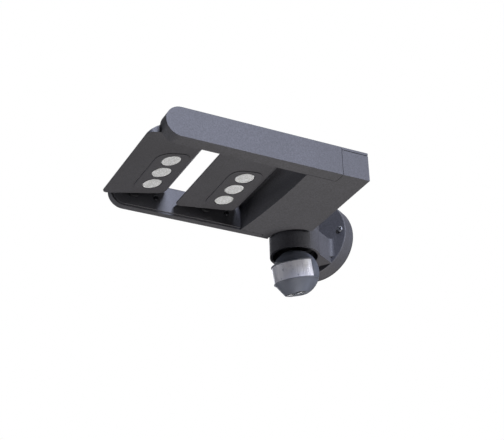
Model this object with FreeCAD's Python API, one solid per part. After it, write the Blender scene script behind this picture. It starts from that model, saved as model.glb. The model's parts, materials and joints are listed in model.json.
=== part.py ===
import FreeCAD, Part
import math
import os

# Wall-mounted twin-head LED spotlight with a swivel bracket and a ball-shaped motion sensor.
# Millimetres, +Z up.  The wall is the plane y = 0 and the lamp reaches out towards -Y.
# The origin is the centre of the wall disc on the wall.  The lamp is swivelled to REST_YAW.

V = FreeCAD.Vector
X_AXIS = V(1, 0, 0)
Y_AXIS = V(0, 1, 0)
Z_AXIS = V(0, 0, 1)
CENTRE = V(0, 0, 0)
EPS = 0.02
TALL = 40.0               # reach of cutting blocks, beyond any part of the ball or a head

# ---- wall bracket -------------------------------------------------------------------------
DISC_R = 50.0
DISC_DEPTH = 20.0
DISC_WALL = 2.6
GASKET_T = 1.5
PLATE_R = 46.4
PLATE_T = 2.5
REACH = 58.3              # wall to swivel axis
ARM_HALF = 28.0           # half width of the bracket's arm
ARM_ROOT_R = 6.0
ARM_ROOT_LIFT = 8.0       # the root fillets start above the disc's rounded rim
COLLAR_R = 30.0
COLLAR_BOTTOM = -19.7     # heights below are measured from the lamp's underside
COLLAR_TOP = 12.0
SOCKET_R = 26.8
LEDGE_Z = -3.0
LEDGE_R = 23.0
COLLAR_ROOF = 8.0
SWIVEL_BORE_R = 8.1
SEAL_RING_R = 18.0
COVER_SCREW_X = 43.0
WALL_SLOT_X = 30.0          # wall screw slots, half spacing
WALL_SLOT_R = 2.6
WALL_SLOT_LENGTH = 12.0
CABLE_HOLE_R = 9.0

# ---- lamp frame, measured from the swivel axis and the lamp's underside -----------------------
REST_YAW = -31.9
LAMP_DROP = -21.6         # underside of the lamp below the disc's centre
LAMP_LENGTH = 240.0
LAMP_WIDTH = 168.0
LAMP_HEIGHT = 35.0
LAMP_REAR = 5.0
LAMP_FAR = -5.0
NEAR_ARM_T = 16.0
FAR_ARM_T = 8.2
LINER_T = 1.4
NEAR_SEAM = 33.0          # from the rear face
FAR_SEAM = 48.0
SEAM_GAP = 0.5            # shadow gap where an arm meets the rear block
SEAM_DEPTH = 0.8
BLOCK_FRONT_NEAR = 69.3   # distances of the block's hollowed front from the rear face
BLOCK_FRONT_MIDDLE = 71.0
BLOCK_FRONT_FAR = 78.3
CASE_WALL = 3.0
LID_T = 3.0
SEAL_T = 0.8
KNUCKLE_R = 30.0
NOTCH_R = 34.0
SWIVEL_GAP = 0.3
BROW_LOW = 4.0            # the hollow front starts here and sweeps up and forward to the lip
BROW_MIDDLE = (-67.2, 20.0)
BROW_LIP = (-77.0, 33.8)
LID_POSTS = [(20.0, -62.0), (137.0, -54.0), (152.0, -5.0), (45.0, -5.0)]
POST_R = 4.0
CASE_TOP = LAMP_HEIGHT - LID_T - SEAL_T
NEAR_IN = LAMP_FAR + LAMP_WIDTH - NEAR_ARM_T    # inner faces of the two arms
FAR_IN = LAMP_FAR + FAR_ARM_T
CHANNEL_FRONT = LAMP_REAR - LAMP_LENGTH + 15.0  # cable channel in the near arm
CHANNEL_REAR = LAMP_REAR - NEAR_SEAM - 4.0
CHANNEL_LOW = 7.0
CHANNEL_HIGH = LAMP_HEIGHT - 3.0
CHANNEL_DEPTH = 12.0
COVER_T = 1.5
NEAR_BOLTS = (40.0, 60.0)       # arm bolts, from the rear face
FAR_BOLTS = (54.0, 70.0)
NEAR_BOLT_Z = 12.0
FAR_BOLT_Z = 14.0
LEAD_WAY = 46.0                 # hole for the heads' leads, from the rear face
LEAD_WAY_Z = 25.0
LEAD_WAY_R = 3.5

# ---- heads ---------------------------------------------------------------------------------
PIVOT_Z = 20.5
FRONT_PIVOT_Y = -207.7
REAR_PIVOT_Y = -119.2
FRONT_TILT = 12.0         # front edge down
REAR_TILT = 7.0
HEAD_HALF = 41.0
HEAD_X0 = 8.0
HEAD_X1 = 145.9
FACE_V = -4.5             # lens face below the pivot axis
HEAD_TOP = 13.5
SPLIT_V = 3.0             # joint between head housing and its back cover
HEAD_WALL = 2.2
FIN_DEPTH = 2.4
FIN_COUNT = 13
LENS_U = 10.0
LENS_PITCH = 26.8
LENS_MIDDLE_X = 59.7
LENS_R = 11.0
BEZEL_HALF_X = 42.2
BEZEL_HALF_U = 20.6
BEZEL_CORNER = 14.0
BEZEL_PROUD = 1.1
PIN_R = 2.9
BUSH_R = 4.5
FRICTION_R = 7.6
LINER_SCREW_BEHIND = 27.0
LINER_SCREW_Z = PIVOT_Z - 3.5
PIVOTS = (FRONT_PIVOT_Y, REAR_PIVOT_Y)
HEAD_SCREWS = [(15.5, 25.0), (138.4, 25.0), (15.5, -13.0), (138.4, -13.0)]
HEAD_BOSS_R = 3.6
BEZEL_U0 = LENS_U - BEZEL_HALF_U
BEZEL_U1 = LENS_U + BEZEL_HALF_U
BOARD_HALF = 38.0
BOARD_TOP = FACE_V + 11.0
BOARD_T = 1.6
PIN_HOLD = 11.0           # length of a pivot pin inside the head

# ---- sensor ball -----------------------------------------------------------------------------
BALL_DROP = -40.4         # ball centre below the lamp's underside
BALL_R = 27.6
BALL_WALL = 2.0
BALL_TILT = 16.0          # front down
WINDOW_R = 27.2           # upright round band of the window
WINDOW_T = 1.3
LENS_TOP = 9.8
LENS_BOTTOM = -10.2
LENS_HALF_ANGLE = 75.0
RIM_R = 27.9              # rim over the window
RIM_T = 1.2
RIM_SLOPE = 4.5
RIM_INSET = 6.0
BOWL_SHIFT = -2.9         # the bowl stands forward of the ball, so that its lip fades out at the sides
BOWL_R = 25.6
BOWL_LIP_T = 1.2
BOWL_LIP_PROUD = 0.9
BASE_R = 14.6
BASE_SHIFT = -6.5         # the flat base stands further forward
BASE_V = -25.8
BASE_T = 2.4
CARRIER_SCREW_R = 24.9
CARRIER_ANGLES = (30, 150, 270)
TILT_PIN_R = 2.4
TILT_PIN_HALF = 18.9
POST_Y = 5.5              # screw post of the bowl
STEM_R = 7.0
DIAL_R = 5.3
DIAL_X = 7.0
DIAL_U = -10.8


# ---- small helpers ---------------------------------------------------------------------------
def box(x0, x1, y0, y1, z0, z1):
    return Part.makeBox(x1 - x0, y1 - y0, z1 - z0, V(x0, y0, z0))


def rod(radius, start, end):
    way = end.sub(start)
    return Part.makeCylinder(radius, way.Length, start, way)


def tube(outer, inner, start, end):
    way = end.sub(start)
    unit = V(way).normalize()
    bore = rod(inner, start.sub(unit), end.add(unit))
    return rod(outer, start, end).cut(bore)


def face_from(edges):
    return Part.Face(Part.Wire(Part.__sortEdges__(edges)))


def line(a, b):
    return Part.makeLine(a, b)


def arc(a, b, c):
    return Part.Arc(a, b, c).toShape()


def rounded_face(x0, x1, y0, y1, z, radii):
    """Rounded rectangle; radii start at (x0, y0) and go round anticlockwise."""
    corners = [(x0, y0, 1, 1), (x1, y0, -1, 1), (x1, y1, -1, -1), (x0, y1, 1, -1)]
    edges = []
    starts = []
    ends = []
    for index, (x, y, sx, sy) in enumerate(corners):
        r = radii[index]
        centre = V(x + sx * r, y + sy * r, z)
        along_x = V(x + sx * r, y, z)
        along_y = V(x, y + sy * r, z)
        middle = centre.add(V(-sx, -sy, 0).multiply(r / math.sqrt(2)))
        first, last = (along_y, along_x) if index % 2 == 0 else (along_x, along_y)
        edges.append(arc(first, middle, last))
        starts.append(first)
        ends.append(last)
    for index in range(4):
        edges.append(line(ends[index], starts[(index + 1) % 4]))
    return face_from(edges)


def screw(head_r, head_h, shank_r, shank_length, at, way):
    """Pan-head cross-recess screw: `at` is under the head, `way` points along the shank."""
    head = Part.makeCylinder(head_r, head_h, V(0, 0, -head_h), Z_AXIS)
    top_edges = [e for e in head.Edges if abs(e.CenterOfMass.z + head_h) < EPS]
    head = head.makeFillet(head_h * 0.45, top_edges)
    for angle in (0, 90):
        slot = box(-head_r * 0.62, head_r * 0.62, -0.35, 0.35, -head_h - 1, -head_h * 0.45)
        slot.rotate(CENTRE, Z_AXIS, angle + 45)
        head = head.cut(slot)
    shank = Part.makeCylinder(shank_r, shank_length, V(0, 0, -EPS), Z_AXIS)
    shape = head.fuse(shank).removeSplitter()
    shape.Placement = FreeCAD.Placement(at, FreeCAD.Rotation(Z_AXIS, way))
    return shape


def group(shapes):
    return Part.makeCompound(shapes)


def on_lamp(shape):
    """Swivel-axis frame to the wall frame, at the rest yaw."""
    shape = shape.copy()
    shape.rotate(CENTRE, Z_AXIS, REST_YAW)
    shape.translate(V(0, -REACH, LAMP_DROP))
    return shape


def on_bracket(shape):
    """Swivel-axis frame to the wall frame, without the yaw."""
    shape = shape.copy()
    shape.translate(V(0, -REACH, LAMP_DROP))
    return shape


def on_head(shape, pivot_y, tilt):
    shape = shape.copy()
    shape.rotate(CENTRE, X_AXIS, tilt)
    shape.translate(V(0, pivot_y, PIVOT_Z))
    return on_lamp(shape)


def on_ball(shape):
    shape = shape.copy()
    shape.rotate(CENTRE, X_AXIS, BALL_TILT)
    shape.translate(V(0, -REACH, LAMP_DROP + BALL_DROP))
    return shape


def save(name, shape):
    shape.exportStep("parts/" + name + ".step")
    solids = len(shape.Solids)
    print("%-26s solids %d volume %.1f valid %s" % (name, solids, shape.Volume, shape.isValid()))


# ---- wall bracket -------------------------------------------------------------------------
def bracket_casting():
    disc = rod(DISC_R, V(0, -GASKET_T, 0), V(0, -DISC_DEPTH, 0))
    rim = [e for e in disc.Edges if abs(e.CenterOfMass.y + DISC_DEPTH) < EPS]
    disc = disc.makeFillet(1.5, rim)
    low = LAMP_DROP + COLLAR_BOTTOM
    high = LAMP_DROP + COLLAR_TOP
    collar = rod(COLLAR_R, V(0, -REACH, low), V(0, -REACH, high))
    arm = box(-ARM_HALF, ARM_HALF, -REACH, -DISC_DEPTH + 1, low, high)
    body = disc.fuse([collar, arm]).removeSplitter()
    roots = [arm_root(side, low + ARM_ROOT_LIFT, high) for side in (-1, 1)]
    body = body.fuse(roots).removeSplitter()
    hollow = rod(DISC_R - DISC_WALL, V(0, EPS, 0), V(0, -DISC_DEPTH + DISC_WALL, 0))
    duct = box(-20, 20, -REACH + 10, -DISC_DEPTH + 6, low + 5, high - 5)
    socket = rod(SOCKET_R, V(0, -REACH, low - 1), V(0, -REACH, LAMP_DROP + LEDGE_Z))
    chamber = rod(LEDGE_R, V(0, -REACH, low), V(0, -REACH, LAMP_DROP + COLLAR_ROOF))
    duct = duct.cut(rod(COLLAR_R - 1, V(0, -REACH, low), V(0, -REACH, LAMP_DROP + LEDGE_Z)))
    bore = rod(SWIVEL_BORE_R, V(0, -REACH, LAMP_DROP), V(0, -REACH, high + 1))
    body = body.cut(hollow.fuse([duct, chamber, socket, bore]))
    body = body.cut(on_bracket(seal_groove()))
    for side in (-1, 1):
        at = side * COVER_SCREW_X
        body = body.cut(rod(2.2, V(at, -DISC_DEPTH - 1, 0), V(at, 0, 0)))
    for angle in CARRIER_ANGLES:
        body = body.cut(on_bracket(carrier_screw_hole(angle)))
    return body


def seal_groove():
    half = 1.15
    low = V(0, 0, COLLAR_TOP - 2.1)
    return tube(SEAL_RING_R + half, SEAL_RING_R - half, low, V(0, 0, COLLAR_TOP + 1))


def arm_root(side, low, high):
    """Concave upright fillet where the arm meets the disc."""
    r = ARM_ROOT_R
    block = box(ARM_HALF - 1, ARM_HALF + r, -DISC_DEPTH - r, -DISC_DEPTH + 1, low, high)
    hollow_low = V(ARM_HALF + r, -DISC_DEPTH - r, low - 1)
    hollow_high = V(ARM_HALF + r, -DISC_DEPTH - r, high + 1)
    block = block.cut(rod(r, hollow_low, hollow_high))
    if side < 0:
        block = block.mirror(CENTRE, X_AXIS)
    return block


def carrier_screw_place(angle, z):
    turn = math.radians(angle)
    return V(CARRIER_SCREW_R * math.cos(turn), CARRIER_SCREW_R * math.sin(turn), z)


def carrier_screw_hole(angle):
    return rod(1.1, carrier_screw_place(angle, LEDGE_Z - 5), carrier_screw_place(angle, LEDGE_Z + 6))


def wall_plate():
    plate = rod(PLATE_R, V(0, -PLATE_T, 0), V(0, 0, 0))
    for side in (-1, 1):
        x = side * WALL_SLOT_X
        half = WALL_SLOT_LENGTH / 2 - WALL_SLOT_R
        slot = box(x - half, x + half, -PLATE_T - 1, 1, -WALL_SLOT_R, WALL_SLOT_R)
        for end in (x - half, x + half):
            slot = slot.fuse(rod(WALL_SLOT_R, V(end, -PLATE_T - 1, 0), V(end, 1, 0)))
        plate = plate.cut(slot)
        post_x = side * COVER_SCREW_X
        post = rod(3.2, V(post_x, -PLATE_T + EPS, 0), V(post_x, -DISC_DEPTH + DISC_WALL, 0))
        plate = plate.fuse(post).cut(rod(2.0, V(post_x, -DISC_DEPTH, 0), V(post_x, -PLATE_T - 1, 0)))
    return plate.cut(rod(CABLE_HOLE_R, V(0, -PLATE_T - 1, 0), V(0, 1, 0)))


def cable_grommet():
    flange = rod(CABLE_HOLE_R + 2.5, V(0, -PLATE_T - 2, 0), V(0, -PLATE_T, 0))
    neck = rod(CABLE_HOLE_R, V(0, -PLATE_T, 0), V(0, 0, 0))
    bore = rod(4.0, V(0, -10, 0), V(0, 1, 0))
    return flange.fuse(neck).cut(bore)


def terminal_block():
    body = box(-16, 16, -PLATE_T - 11, -PLATE_T, 16, 30)
    for index in range(3):
        x = (index - 1) * 10
        wire_way = rod(2.2, V(x, -PLATE_T - 5, 15), V(x, -PLATE_T - 5, 31))
        screw_way = rod(2.0, V(x, -PLATE_T - 12, 23), V(x, -PLATE_T - 5, 23))
        body = body.cut(wire_way.fuse(screw_way))
    return body


def cover_screws():
    screws = []
    for side in (-1, 1):
        at = V(side * COVER_SCREW_X, -DISC_DEPTH, 0)
        screws.append(screw(3.6, 2.6, 1.95, 12.0, at, Y_AXIS))
    return group(screws)


# ---- swivel -----------------------------------------------------------------------------------
def swivel_bolt():
    """Hollow bolt: head on the lamp's knuckle floor, thread down through the bracket's roof."""
    floor_top = COLLAR_TOP + SWIVEL_GAP + CASE_WALL
    head = rod(12.0, V(0, 0, floor_top), V(0, 0, floor_top + 3))
    shank = rod(SWIVEL_BORE_R - 0.05, V(0, 0, COLLAR_ROOF - 8), V(0, 0, floor_top + 1))
    return head.fuse(shank).cut(rod(5.0, V(0, 0, -5), V(0, 0, 30))).removeSplitter()


def swivel_washer():
    return tube(15.0, SWIVEL_BORE_R, V(0, 0, COLLAR_ROOF - 1.8), V(0, 0, COLLAR_ROOF - 0.05))


def swivel_nut():
    top = COLLAR_ROOF - 1.85
    points = []
    for index in range(7):
        angle = math.radians(60 * index)
        points.append(V(13.2 * math.cos(angle), 13.2 * math.sin(angle), top - 5))
    hexagon = Part.Face(Part.makePolygon(points)).extrude(V(0, 0, 5))
    return hexagon.cut(rod(SWIVEL_BORE_R - 0.05, V(0, 0, -10), V(0, 0, 20)))


def swivel_seal():
    ring = Part.makeTorus(SEAL_RING_R, 1.1)
    ring.translate(V(0, 0, COLLAR_TOP + SWIVEL_GAP - 1.1 - EPS))
    return ring


# ---- lamp frame --------------------------------------------------------------------------------
def rear_of(distance):
    return LAMP_REAR - distance


def block_face(z):
    """Plan of the rear block: straight sides, seam steps for the arms, hollowed front."""
    far = LAMP_FAR
    near = LAMP_FAR + LAMP_WIDTH
    front_near = V(NEAR_IN, rear_of(BLOCK_FRONT_NEAR), z)
    front_middle = V((NEAR_IN + FAR_IN) / 2, rear_of(BLOCK_FRONT_MIDDLE), z)
    front_far = V(FAR_IN, rear_of(BLOCK_FRONT_FAR), z)
    corner = [
        front_far,
        V(FAR_IN, rear_of(FAR_SEAM), z),
        V(far, rear_of(FAR_SEAM), z),
        V(far, LAMP_REAR, z),
        V(near, LAMP_REAR, z),
        V(near, rear_of(NEAR_SEAM), z),
        V(NEAR_IN, rear_of(NEAR_SEAM), z),
        front_near,
    ]
    edges = [line(corner[i], corner[i + 1]) for i in range(len(corner) - 1)]
    edges.append(arc(front_near, front_middle, front_far))
    return face_from(edges)


def slab(face, height):
    return face.extrude(V(0, 0, height))


def block_inset(inset, z, height):
    return slab(block_face(z).makeOffset2D(-inset, 2), height)


def brow(inset, z0, z1):
    """Overhang above the heads, between two heights: its front is a hollow sweep up to the lip."""
    x0 = FAR_IN + LINER_T + 0.1 + inset
    x1 = NEAR_IN - inset
    rear = rear_of(BLOCK_FRONT_NEAR) + 6.0
    low = V(x0, rear_of(BLOCK_FRONT_NEAR) + inset, BROW_LOW)
    middle = V(x0, BROW_MIDDLE[0] + inset, BROW_MIDDLE[1])
    lip = V(x0, BROW_LIP[0] + inset, BROW_LIP[1])
    top = V(x0, lip.y, LAMP_HEIGHT)
    rear_top = V(x0, rear, LAMP_HEIGHT)
    rear_low = V(x0, rear, BROW_LOW)
    edges = [arc(low, middle, lip), line(lip, top), line(top, rear_top)]
    edges.append(line(rear_top, rear_low))
    edges.append(line(rear_low, low))
    solid = face_from(edges).extrude(V(x1 - x0, 0, 0))
    return solid.common(box(x0, x1, lip.y - 1, rear + 1, z0, z1))


def rear_housing():
    floor = COLLAR_TOP + SWIVEL_GAP
    shape = slab(block_face(0), CASE_TOP).fuse(brow(0, 0, CASE_TOP))
    shape = shape.cut(rod(NOTCH_R, V(0, 0, -1), V(0, 0, floor)))
    shape = shape.fuse(rod(KNUCKLE_R, V(0, 0, floor), V(0, 0, CASE_TOP)))
    low = block_inset(CASE_WALL, CASE_WALL, floor)
    low = low.cut(rod(NOTCH_R + CASE_WALL, V(0, 0, 0), V(0, 0, floor + CASE_WALL)))
    high = block_inset(CASE_WALL, floor + CASE_WALL, CASE_TOP)
    high = high.fuse(brow(CASE_WALL, floor + CASE_WALL, LAMP_HEIGHT))
    knuckle_room = rod(KNUCKLE_R - CASE_WALL, V(0, 0, floor + CASE_WALL), V(0, 0, CASE_TOP + 1))
    shape = shape.cut(low.fuse([high, knuckle_room]))
    for x, y in LID_POSTS:
        post = rod(POST_R, V(x, y, CASE_WALL - EPS), V(x, y, CASE_TOP))
        shape = shape.fuse(post).cut(rod(1.3, V(x, y, CASE_TOP - 9), V(x, y, CASE_TOP + 1)))
    shape = shape.cut(rod(SWIVEL_BORE_R, V(0, 0, 0), V(0, 0, 20)))
    for start, end in arm_bolt_ways():
        shape = shape.cut(rod(2.1, start, end))
    way_y = rear_of(LEAD_WAY)
    lead_way = rod(LEAD_WAY_R, V(NEAR_IN - 27, way_y, LEAD_WAY_Z), V(NEAR_IN + 3, way_y, LEAD_WAY_Z))
    return shape.cut(lead_way).removeSplitter()


def housing_lid():
    bottom = LAMP_HEIGHT - LID_T
    plate = slab(block_face(bottom), LID_T).fuse(brow(0, bottom, LAMP_HEIGHT))
    plate = plate.fuse(rod(KNUCKLE_R, V(0, 0, bottom), V(0, 0, LAMP_HEIGHT))).removeSplitter()
    for x, y in LID_POSTS:
        plate = plate.cut(rod(1.6, V(x, y, bottom - 1), V(x, y, LAMP_HEIGHT + 1)))
        plate = plate.cut(rod(3.1, V(x, y, LAMP_HEIGHT - 1.6), V(x, y, LAMP_HEIGHT + 1)))
    return plate


def lid_seal():
    bottom = CASE_TOP
    top = bottom + SEAL_T
    outer = block_inset(0.7, bottom, SEAL_T).fuse(brow(0.7, bottom, top))
    outer = outer.fuse(rod(KNUCKLE_R - 0.7, V(0, 0, bottom), V(0, 0, top)))
    inner = block_inset(CASE_WALL - 0.3, bottom - 1, SEAL_T + 2)
    inner = inner.fuse(brow(CASE_WALL - 0.3, bottom - 1, top + 1))
    inner = inner.fuse(rod(KNUCKLE_R - CASE_WALL + 0.3, V(0, 0, bottom - 1), V(0, 0, bottom + 3)))
    return outer.cut(inner)


def lid_screws():
    screws = []
    for x, y in LID_POSTS:
        screws.append(screw(2.9, 1.5, 1.25, 10.0, V(x, y, LAMP_HEIGHT - 1.6), V(0, 0, -1)))
    return group(screws)


def led_driver():
    case = box(52, 122, -58, -20, CASE_WALL, CASE_WALL + 22)
    case = case.makeFillet(2.0, [e for e in case.Edges if abs(e.Vertexes[0].Z - e.Vertexes[1].Z) > 5])
    for x in (46, 122):
        tab = box(x, x + 6, -46, -32, CASE_WALL, CASE_WALL + 2)
        case = case.fuse(tab).cut(rod(1.8, V(x + 3, -39, 0), V(x + 3, -39, 10)))
    return case.removeSplitter()


def arm_face(x, rear, inset):
    """Side profile of an arm: straight bar with a half-round tip."""
    tip = rear_of(LAMP_LENGTH)
    radius = LAMP_HEIGHT / 2 - inset
    middle = LAMP_HEIGHT / 2
    bend = tip + LAMP_HEIGHT / 2
    low = V(x, bend, middle - radius)
    high = V(x, bend, middle + radius)
    low_rear = V(x, rear, middle - radius)
    high_rear = V(x, rear, middle + radius)
    edges = [line(low_rear, low), arc(low, V(x, bend - radius, middle), high)]
    edges.append(line(high, high_rear))
    edges.append(line(high_rear, low_rear))
    return face_from(edges)


def arm_bolt_ways():
    ways = []
    for distance in NEAR_BOLTS:
        y = rear_of(distance)
        ways.append((V(NEAR_IN - 8, y, NEAR_BOLT_Z), V(NEAR_IN + 9, y, NEAR_BOLT_Z)))
    for distance in FAR_BOLTS:
        y = rear_of(distance)
        ways.append((V(FAR_IN + 8, y, FAR_BOLT_Z), V(FAR_IN - 5, y, FAR_BOLT_Z)))
    return ways


def seam_groove(outer, inner, seam, front):
    """Shadow gap round an arm's rear end and along the block's side, on the top and the underside."""
    inward = 1 if inner > outer else -1
    rear = rear_of(seam)
    low_x, high_x = sorted((outer, inner))
    core_x = sorted((outer + inward * SEAM_DEPTH, inner + inward))
    end = box(low_x, high_x, rear - SEAM_GAP, rear, 0, LAMP_HEIGHT)
    core = box(core_x[0], core_x[1], rear - 1, rear + 1, SEAM_DEPTH, LAMP_HEIGHT - SEAM_DEPTH)
    side_x = sorted((inner, inner - inward * SEAM_GAP))
    side = box(side_x[0], side_x[1], rear_of(front), rear, 0, LAMP_HEIGHT)
    middle = box(low_x - 1, high_x + 1, rear_of(front) - 1, rear + 1, SEAM_DEPTH, LAMP_HEIGHT - SEAM_DEPTH)
    return end.cut(core).fuse(side.cut(middle))


def near_arm():
    shape = arm_face(NEAR_IN, rear_of(NEAR_SEAM), 0).extrude(V(NEAR_ARM_T, 0, 0))
    shape = shape.cut(seam_groove(NEAR_IN + NEAR_ARM_T, NEAR_IN, NEAR_SEAM, BLOCK_FRONT_NEAR))
    floor_x = NEAR_IN + CHANNEL_DEPTH
    channel = box(NEAR_IN - 1, floor_x, CHANNEL_FRONT, CHANNEL_REAR, CHANNEL_LOW, CHANNEL_HIGH)
    for y in PIVOTS:
        channel = channel.cut(rod(9.0, V(NEAR_IN - 2, y, PIVOT_Z), V(floor_x + 1, y, PIVOT_Z)))
    for distance in NEAR_BOLTS:
        y = rear_of(distance)
        channel = channel.cut(rod(4.0, V(NEAR_IN - 2, y, NEAR_BOLT_Z), V(floor_x + 1, y, NEAR_BOLT_Z)))
    shape = shape.cut(channel)
    shape = shape.cut(cover_outline(NEAR_IN, COVER_T))
    for y in PIVOTS:
        shape = shape.cut(rod(BUSH_R, V(NEAR_IN - 1, y, PIVOT_Z), V(NEAR_IN + PIN_HOLD, y, PIVOT_Z)))
    for start, end in arm_bolt_ways()[:2]:
        shape = shape.cut(rod(1.7, start, end))
    for x, y, z in cover_screw_places():
        shape = shape.cut(rod(1.1, V(x, y, z), V(x + 7, y, z)))
    return shape


def cover_outline(x, thickness):
    return box(x, x + thickness, CHANNEL_FRONT - 5, CHANNEL_REAR + 2, CHANNEL_LOW - 3, CHANNEL_HIGH + 1)


def cover_screw_places():
    z = (CHANNEL_LOW + CHANNEL_HIGH) / 2
    return [(NEAR_IN, CHANNEL_FRONT - 2.5, z), (NEAR_IN, CHANNEL_REAR + 0.2, z)]


def near_arm_cover():
    plate = cover_outline(NEAR_IN, COVER_T)
    for y in PIVOTS:
        plate = plate.cut(rod(BUSH_R, V(NEAR_IN - 1, y, PIVOT_Z), V(NEAR_IN + 5, y, PIVOT_Z)))
    for start, end in arm_bolt_ways()[:2]:
        plate = plate.cut(rod(2.1, start, end))
    for x, y, z in cover_screw_places():
        plate = plate.cut(rod(1.4, V(x - 1, y, z), V(x + 7, y, z)))
        plate = plate.cut(rod(1.8, V(x - 1, y, z), V(x + 0.75, y, z)))
    way_y = rear_of(LEAD_WAY)
    lead_way = rod(LEAD_WAY_R, V(NEAR_IN - 1, way_y, LEAD_WAY_Z), V(NEAR_IN + 5, way_y, LEAD_WAY_Z))
    return plate.cut(lead_way)


def far_arm():
    shape = arm_face(LAMP_FAR, rear_of(FAR_SEAM), 0).extrude(V(FAR_ARM_T, 0, 0))
    shape = shape.cut(seam_groove(LAMP_FAR, FAR_IN, FAR_SEAM, BLOCK_FRONT_FAR))
    for y in PIVOTS:
        shape = shape.cut(rod(BUSH_R, V(FAR_IN - 6, y, PIVOT_Z), V(FAR_IN + 1, y, PIVOT_Z)))
        y += LINER_SCREW_BEHIND
        shape = shape.cut(rod(1.2, V(FAR_IN - 6, y, LINER_SCREW_Z), V(FAR_IN + 1, y, LINER_SCREW_Z)))
    for start, end in arm_bolt_ways()[2:]:
        shape = shape.cut(rod(1.7, start, end))
    return shape


def far_arm_liner():
    """Thin inner plate of the far arm; its edge stands back and leaves a shadow line."""
    shape = arm_face(FAR_IN, rear_of(BLOCK_FRONT_FAR) - 0.3, 2.2).extrude(V(LINER_T, 0, 0))
    for y in PIVOTS:
        shape = shape.cut(rod(BUSH_R, V(FAR_IN - 1, y, PIVOT_Z), V(FAR_IN + 3, y, PIVOT_Z)))
        y += LINER_SCREW_BEHIND
        shape = shape.cut(rod(1.3, V(FAR_IN - 1, y, LINER_SCREW_Z), V(FAR_IN + 3, y, LINER_SCREW_Z)))
    return shape


def liner_screws():
    screws = []
    for pivot_y in PIVOTS:
        at = V(FAR_IN + LINER_T, pivot_y + LINER_SCREW_BEHIND, LINER_SCREW_Z)
        screws.append(screw(2.9, 1.9, 1.15, 6.0, at, V(-1, 0, 0)))
    return group(screws)


def near_cover_screws():
    screws = []
    for x, y, z in cover_screw_places():
        screws.append(screw(1.65, 0.7, 1.0, 6.0, V(x + 0.75, y, z), X_AXIS))
    return group(screws)


def arm_bolts(ways, floor_gap):
    bolts = []
    for start, end in ways:
        way = V(end.sub(start)).normalize()
        at = start.add(V(way).multiply(floor_gap))
        bolts.append(screw(3.4, 2.6, 1.65, end.sub(at).Length - 0.5, at, way))
    return group(bolts)


def near_bushes():
    bushes = []
    for pivot_y in PIVOTS:
        start = V(NEAR_IN, pivot_y, PIVOT_Z)
        end = V(NEAR_IN + PIN_HOLD, pivot_y, PIVOT_Z)
        bushes.append(tube(BUSH_R, PIN_R + 0.05, start, end))
    return group(bushes)


def far_bushes():
    bushes = []
    for pivot_y in PIVOTS:
        start = V(FAR_IN - 6, pivot_y, PIVOT_Z)
        end = V(FAR_IN + LINER_T, pivot_y, PIVOT_Z)
        bushes.append(tube(BUSH_R, PIN_R + 0.05, start, end))
    return group(bushes)


def friction_discs():
    discs = []
    for pivot_y in PIVOTS:
        start = V(FAR_IN + LINER_T, pivot_y, PIVOT_Z)
        end = V(HEAD_X0 - 0.05, pivot_y, PIVOT_Z)
        discs.append(tube(FRICTION_R, PIN_R + 0.05, start, end))
    return group(discs)


# ---- heads: x along the pivot, u = y, v = z, pivot axis at y = z = 0 ------------------------------
def head_profile(x, t):
    """Wedge section: thin front edge, flat lens face, rounded rear; t insets it."""
    front = -HEAD_HALF
    face = FACE_V + t
    nose_low = V(x, front + 1.2 + 3.2 * t, face)
    nose_high = V(x, front + 0.5 + 3.6 * t, face + 1.5)
    nose = V(x, front + 3.0 * t, face + 0.7)
    heel = V(x, HEAD_HALF - 9.5, face)
    heel_middle = V(x, HEAD_HALF - 2.6 - 0.75 * t, FACE_V + 3.0 + 0.7 * t)
    rear = V(x, HEAD_HALF - t, 5.0)
    rear_middle = V(x, HEAD_HALF - 2.2 - 0.75 * t, 10.6 - 0.7 * t)
    shoulder = V(x, HEAD_HALF - 8.0, HEAD_TOP - t)
    crown = V(x, -3.0, 11.6 - t)
    edges = [arc(nose_high, nose, nose_low), line(nose_low, heel), arc(heel, heel_middle, rear)]
    edges.append(arc(rear, rear_middle, shoulder))
    edges.append(arc(shoulder, crown, nose_high))
    return face_from(edges)


def head_block(inset, v0, v1):
    """The head's outer form (or an inset of it) between two heights."""
    x0 = HEAD_X0 + inset
    x1 = HEAD_X1 - inset
    along = head_profile(x0, inset).extrude(V(x1 - x0, 0, 0))
    front_r = max(7.0 - inset, 1.0)
    rear_r = 16.0 - inset
    half = HEAD_HALF - inset
    plan = rounded_face(x0, x1, -half, half, v0, [front_r, front_r, rear_r, rear_r])
    return along.common(plan.extrude(V(0, 0, v1 - v0)))


def bezel_plan(v, inset):
    x0 = LENS_MIDDLE_X - BEZEL_HALF_X + inset
    x1 = LENS_MIDDLE_X + BEZEL_HALF_X - inset
    r = BEZEL_CORNER - inset
    return rounded_face(x0, x1, BEZEL_U0 + inset, BEZEL_U1 - inset, v, [r, r, r, r])


def lens_centres():
    return [LENS_MIDDLE_X + (index - 1) * LENS_PITCH for index in range(3)]


def head_housing():
    shape = head_block(0, -10, SPLIT_V)
    room = head_block(HEAD_WALL, -10, SPLIT_V + 1)
    shape = shape.cut(room)
    limits = head_block(0.5, -10, SPLIT_V)
    shape = shape.fuse(pivot_blocks().common(limits))
    for x, u in HEAD_SCREWS:
        boss = rod(HEAD_BOSS_R, V(x, u, FACE_V + 1), V(x, u, SPLIT_V))
        shape = shape.fuse(boss.common(limits))
        shape = shape.cut(rod(1.2, V(x, u, FACE_V + 2.4), V(x, u, SPLIT_V + 1)))
    shape = shape.cut(bezel_plan(FACE_V - 1, 2.0).extrude(V(0, 0, HEAD_WALL + 2)))
    shape = shape.cut(pivot_bores())
    return shape.removeSplitter()


def pivot_blocks():
    far = box(HEAD_X0, HEAD_X0 + 12, -7, 7, FACE_V, 9)
    near = box(HEAD_X1 - 12, HEAD_X1, -7, 7, FACE_V, 9)
    return far.fuse(near)


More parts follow.
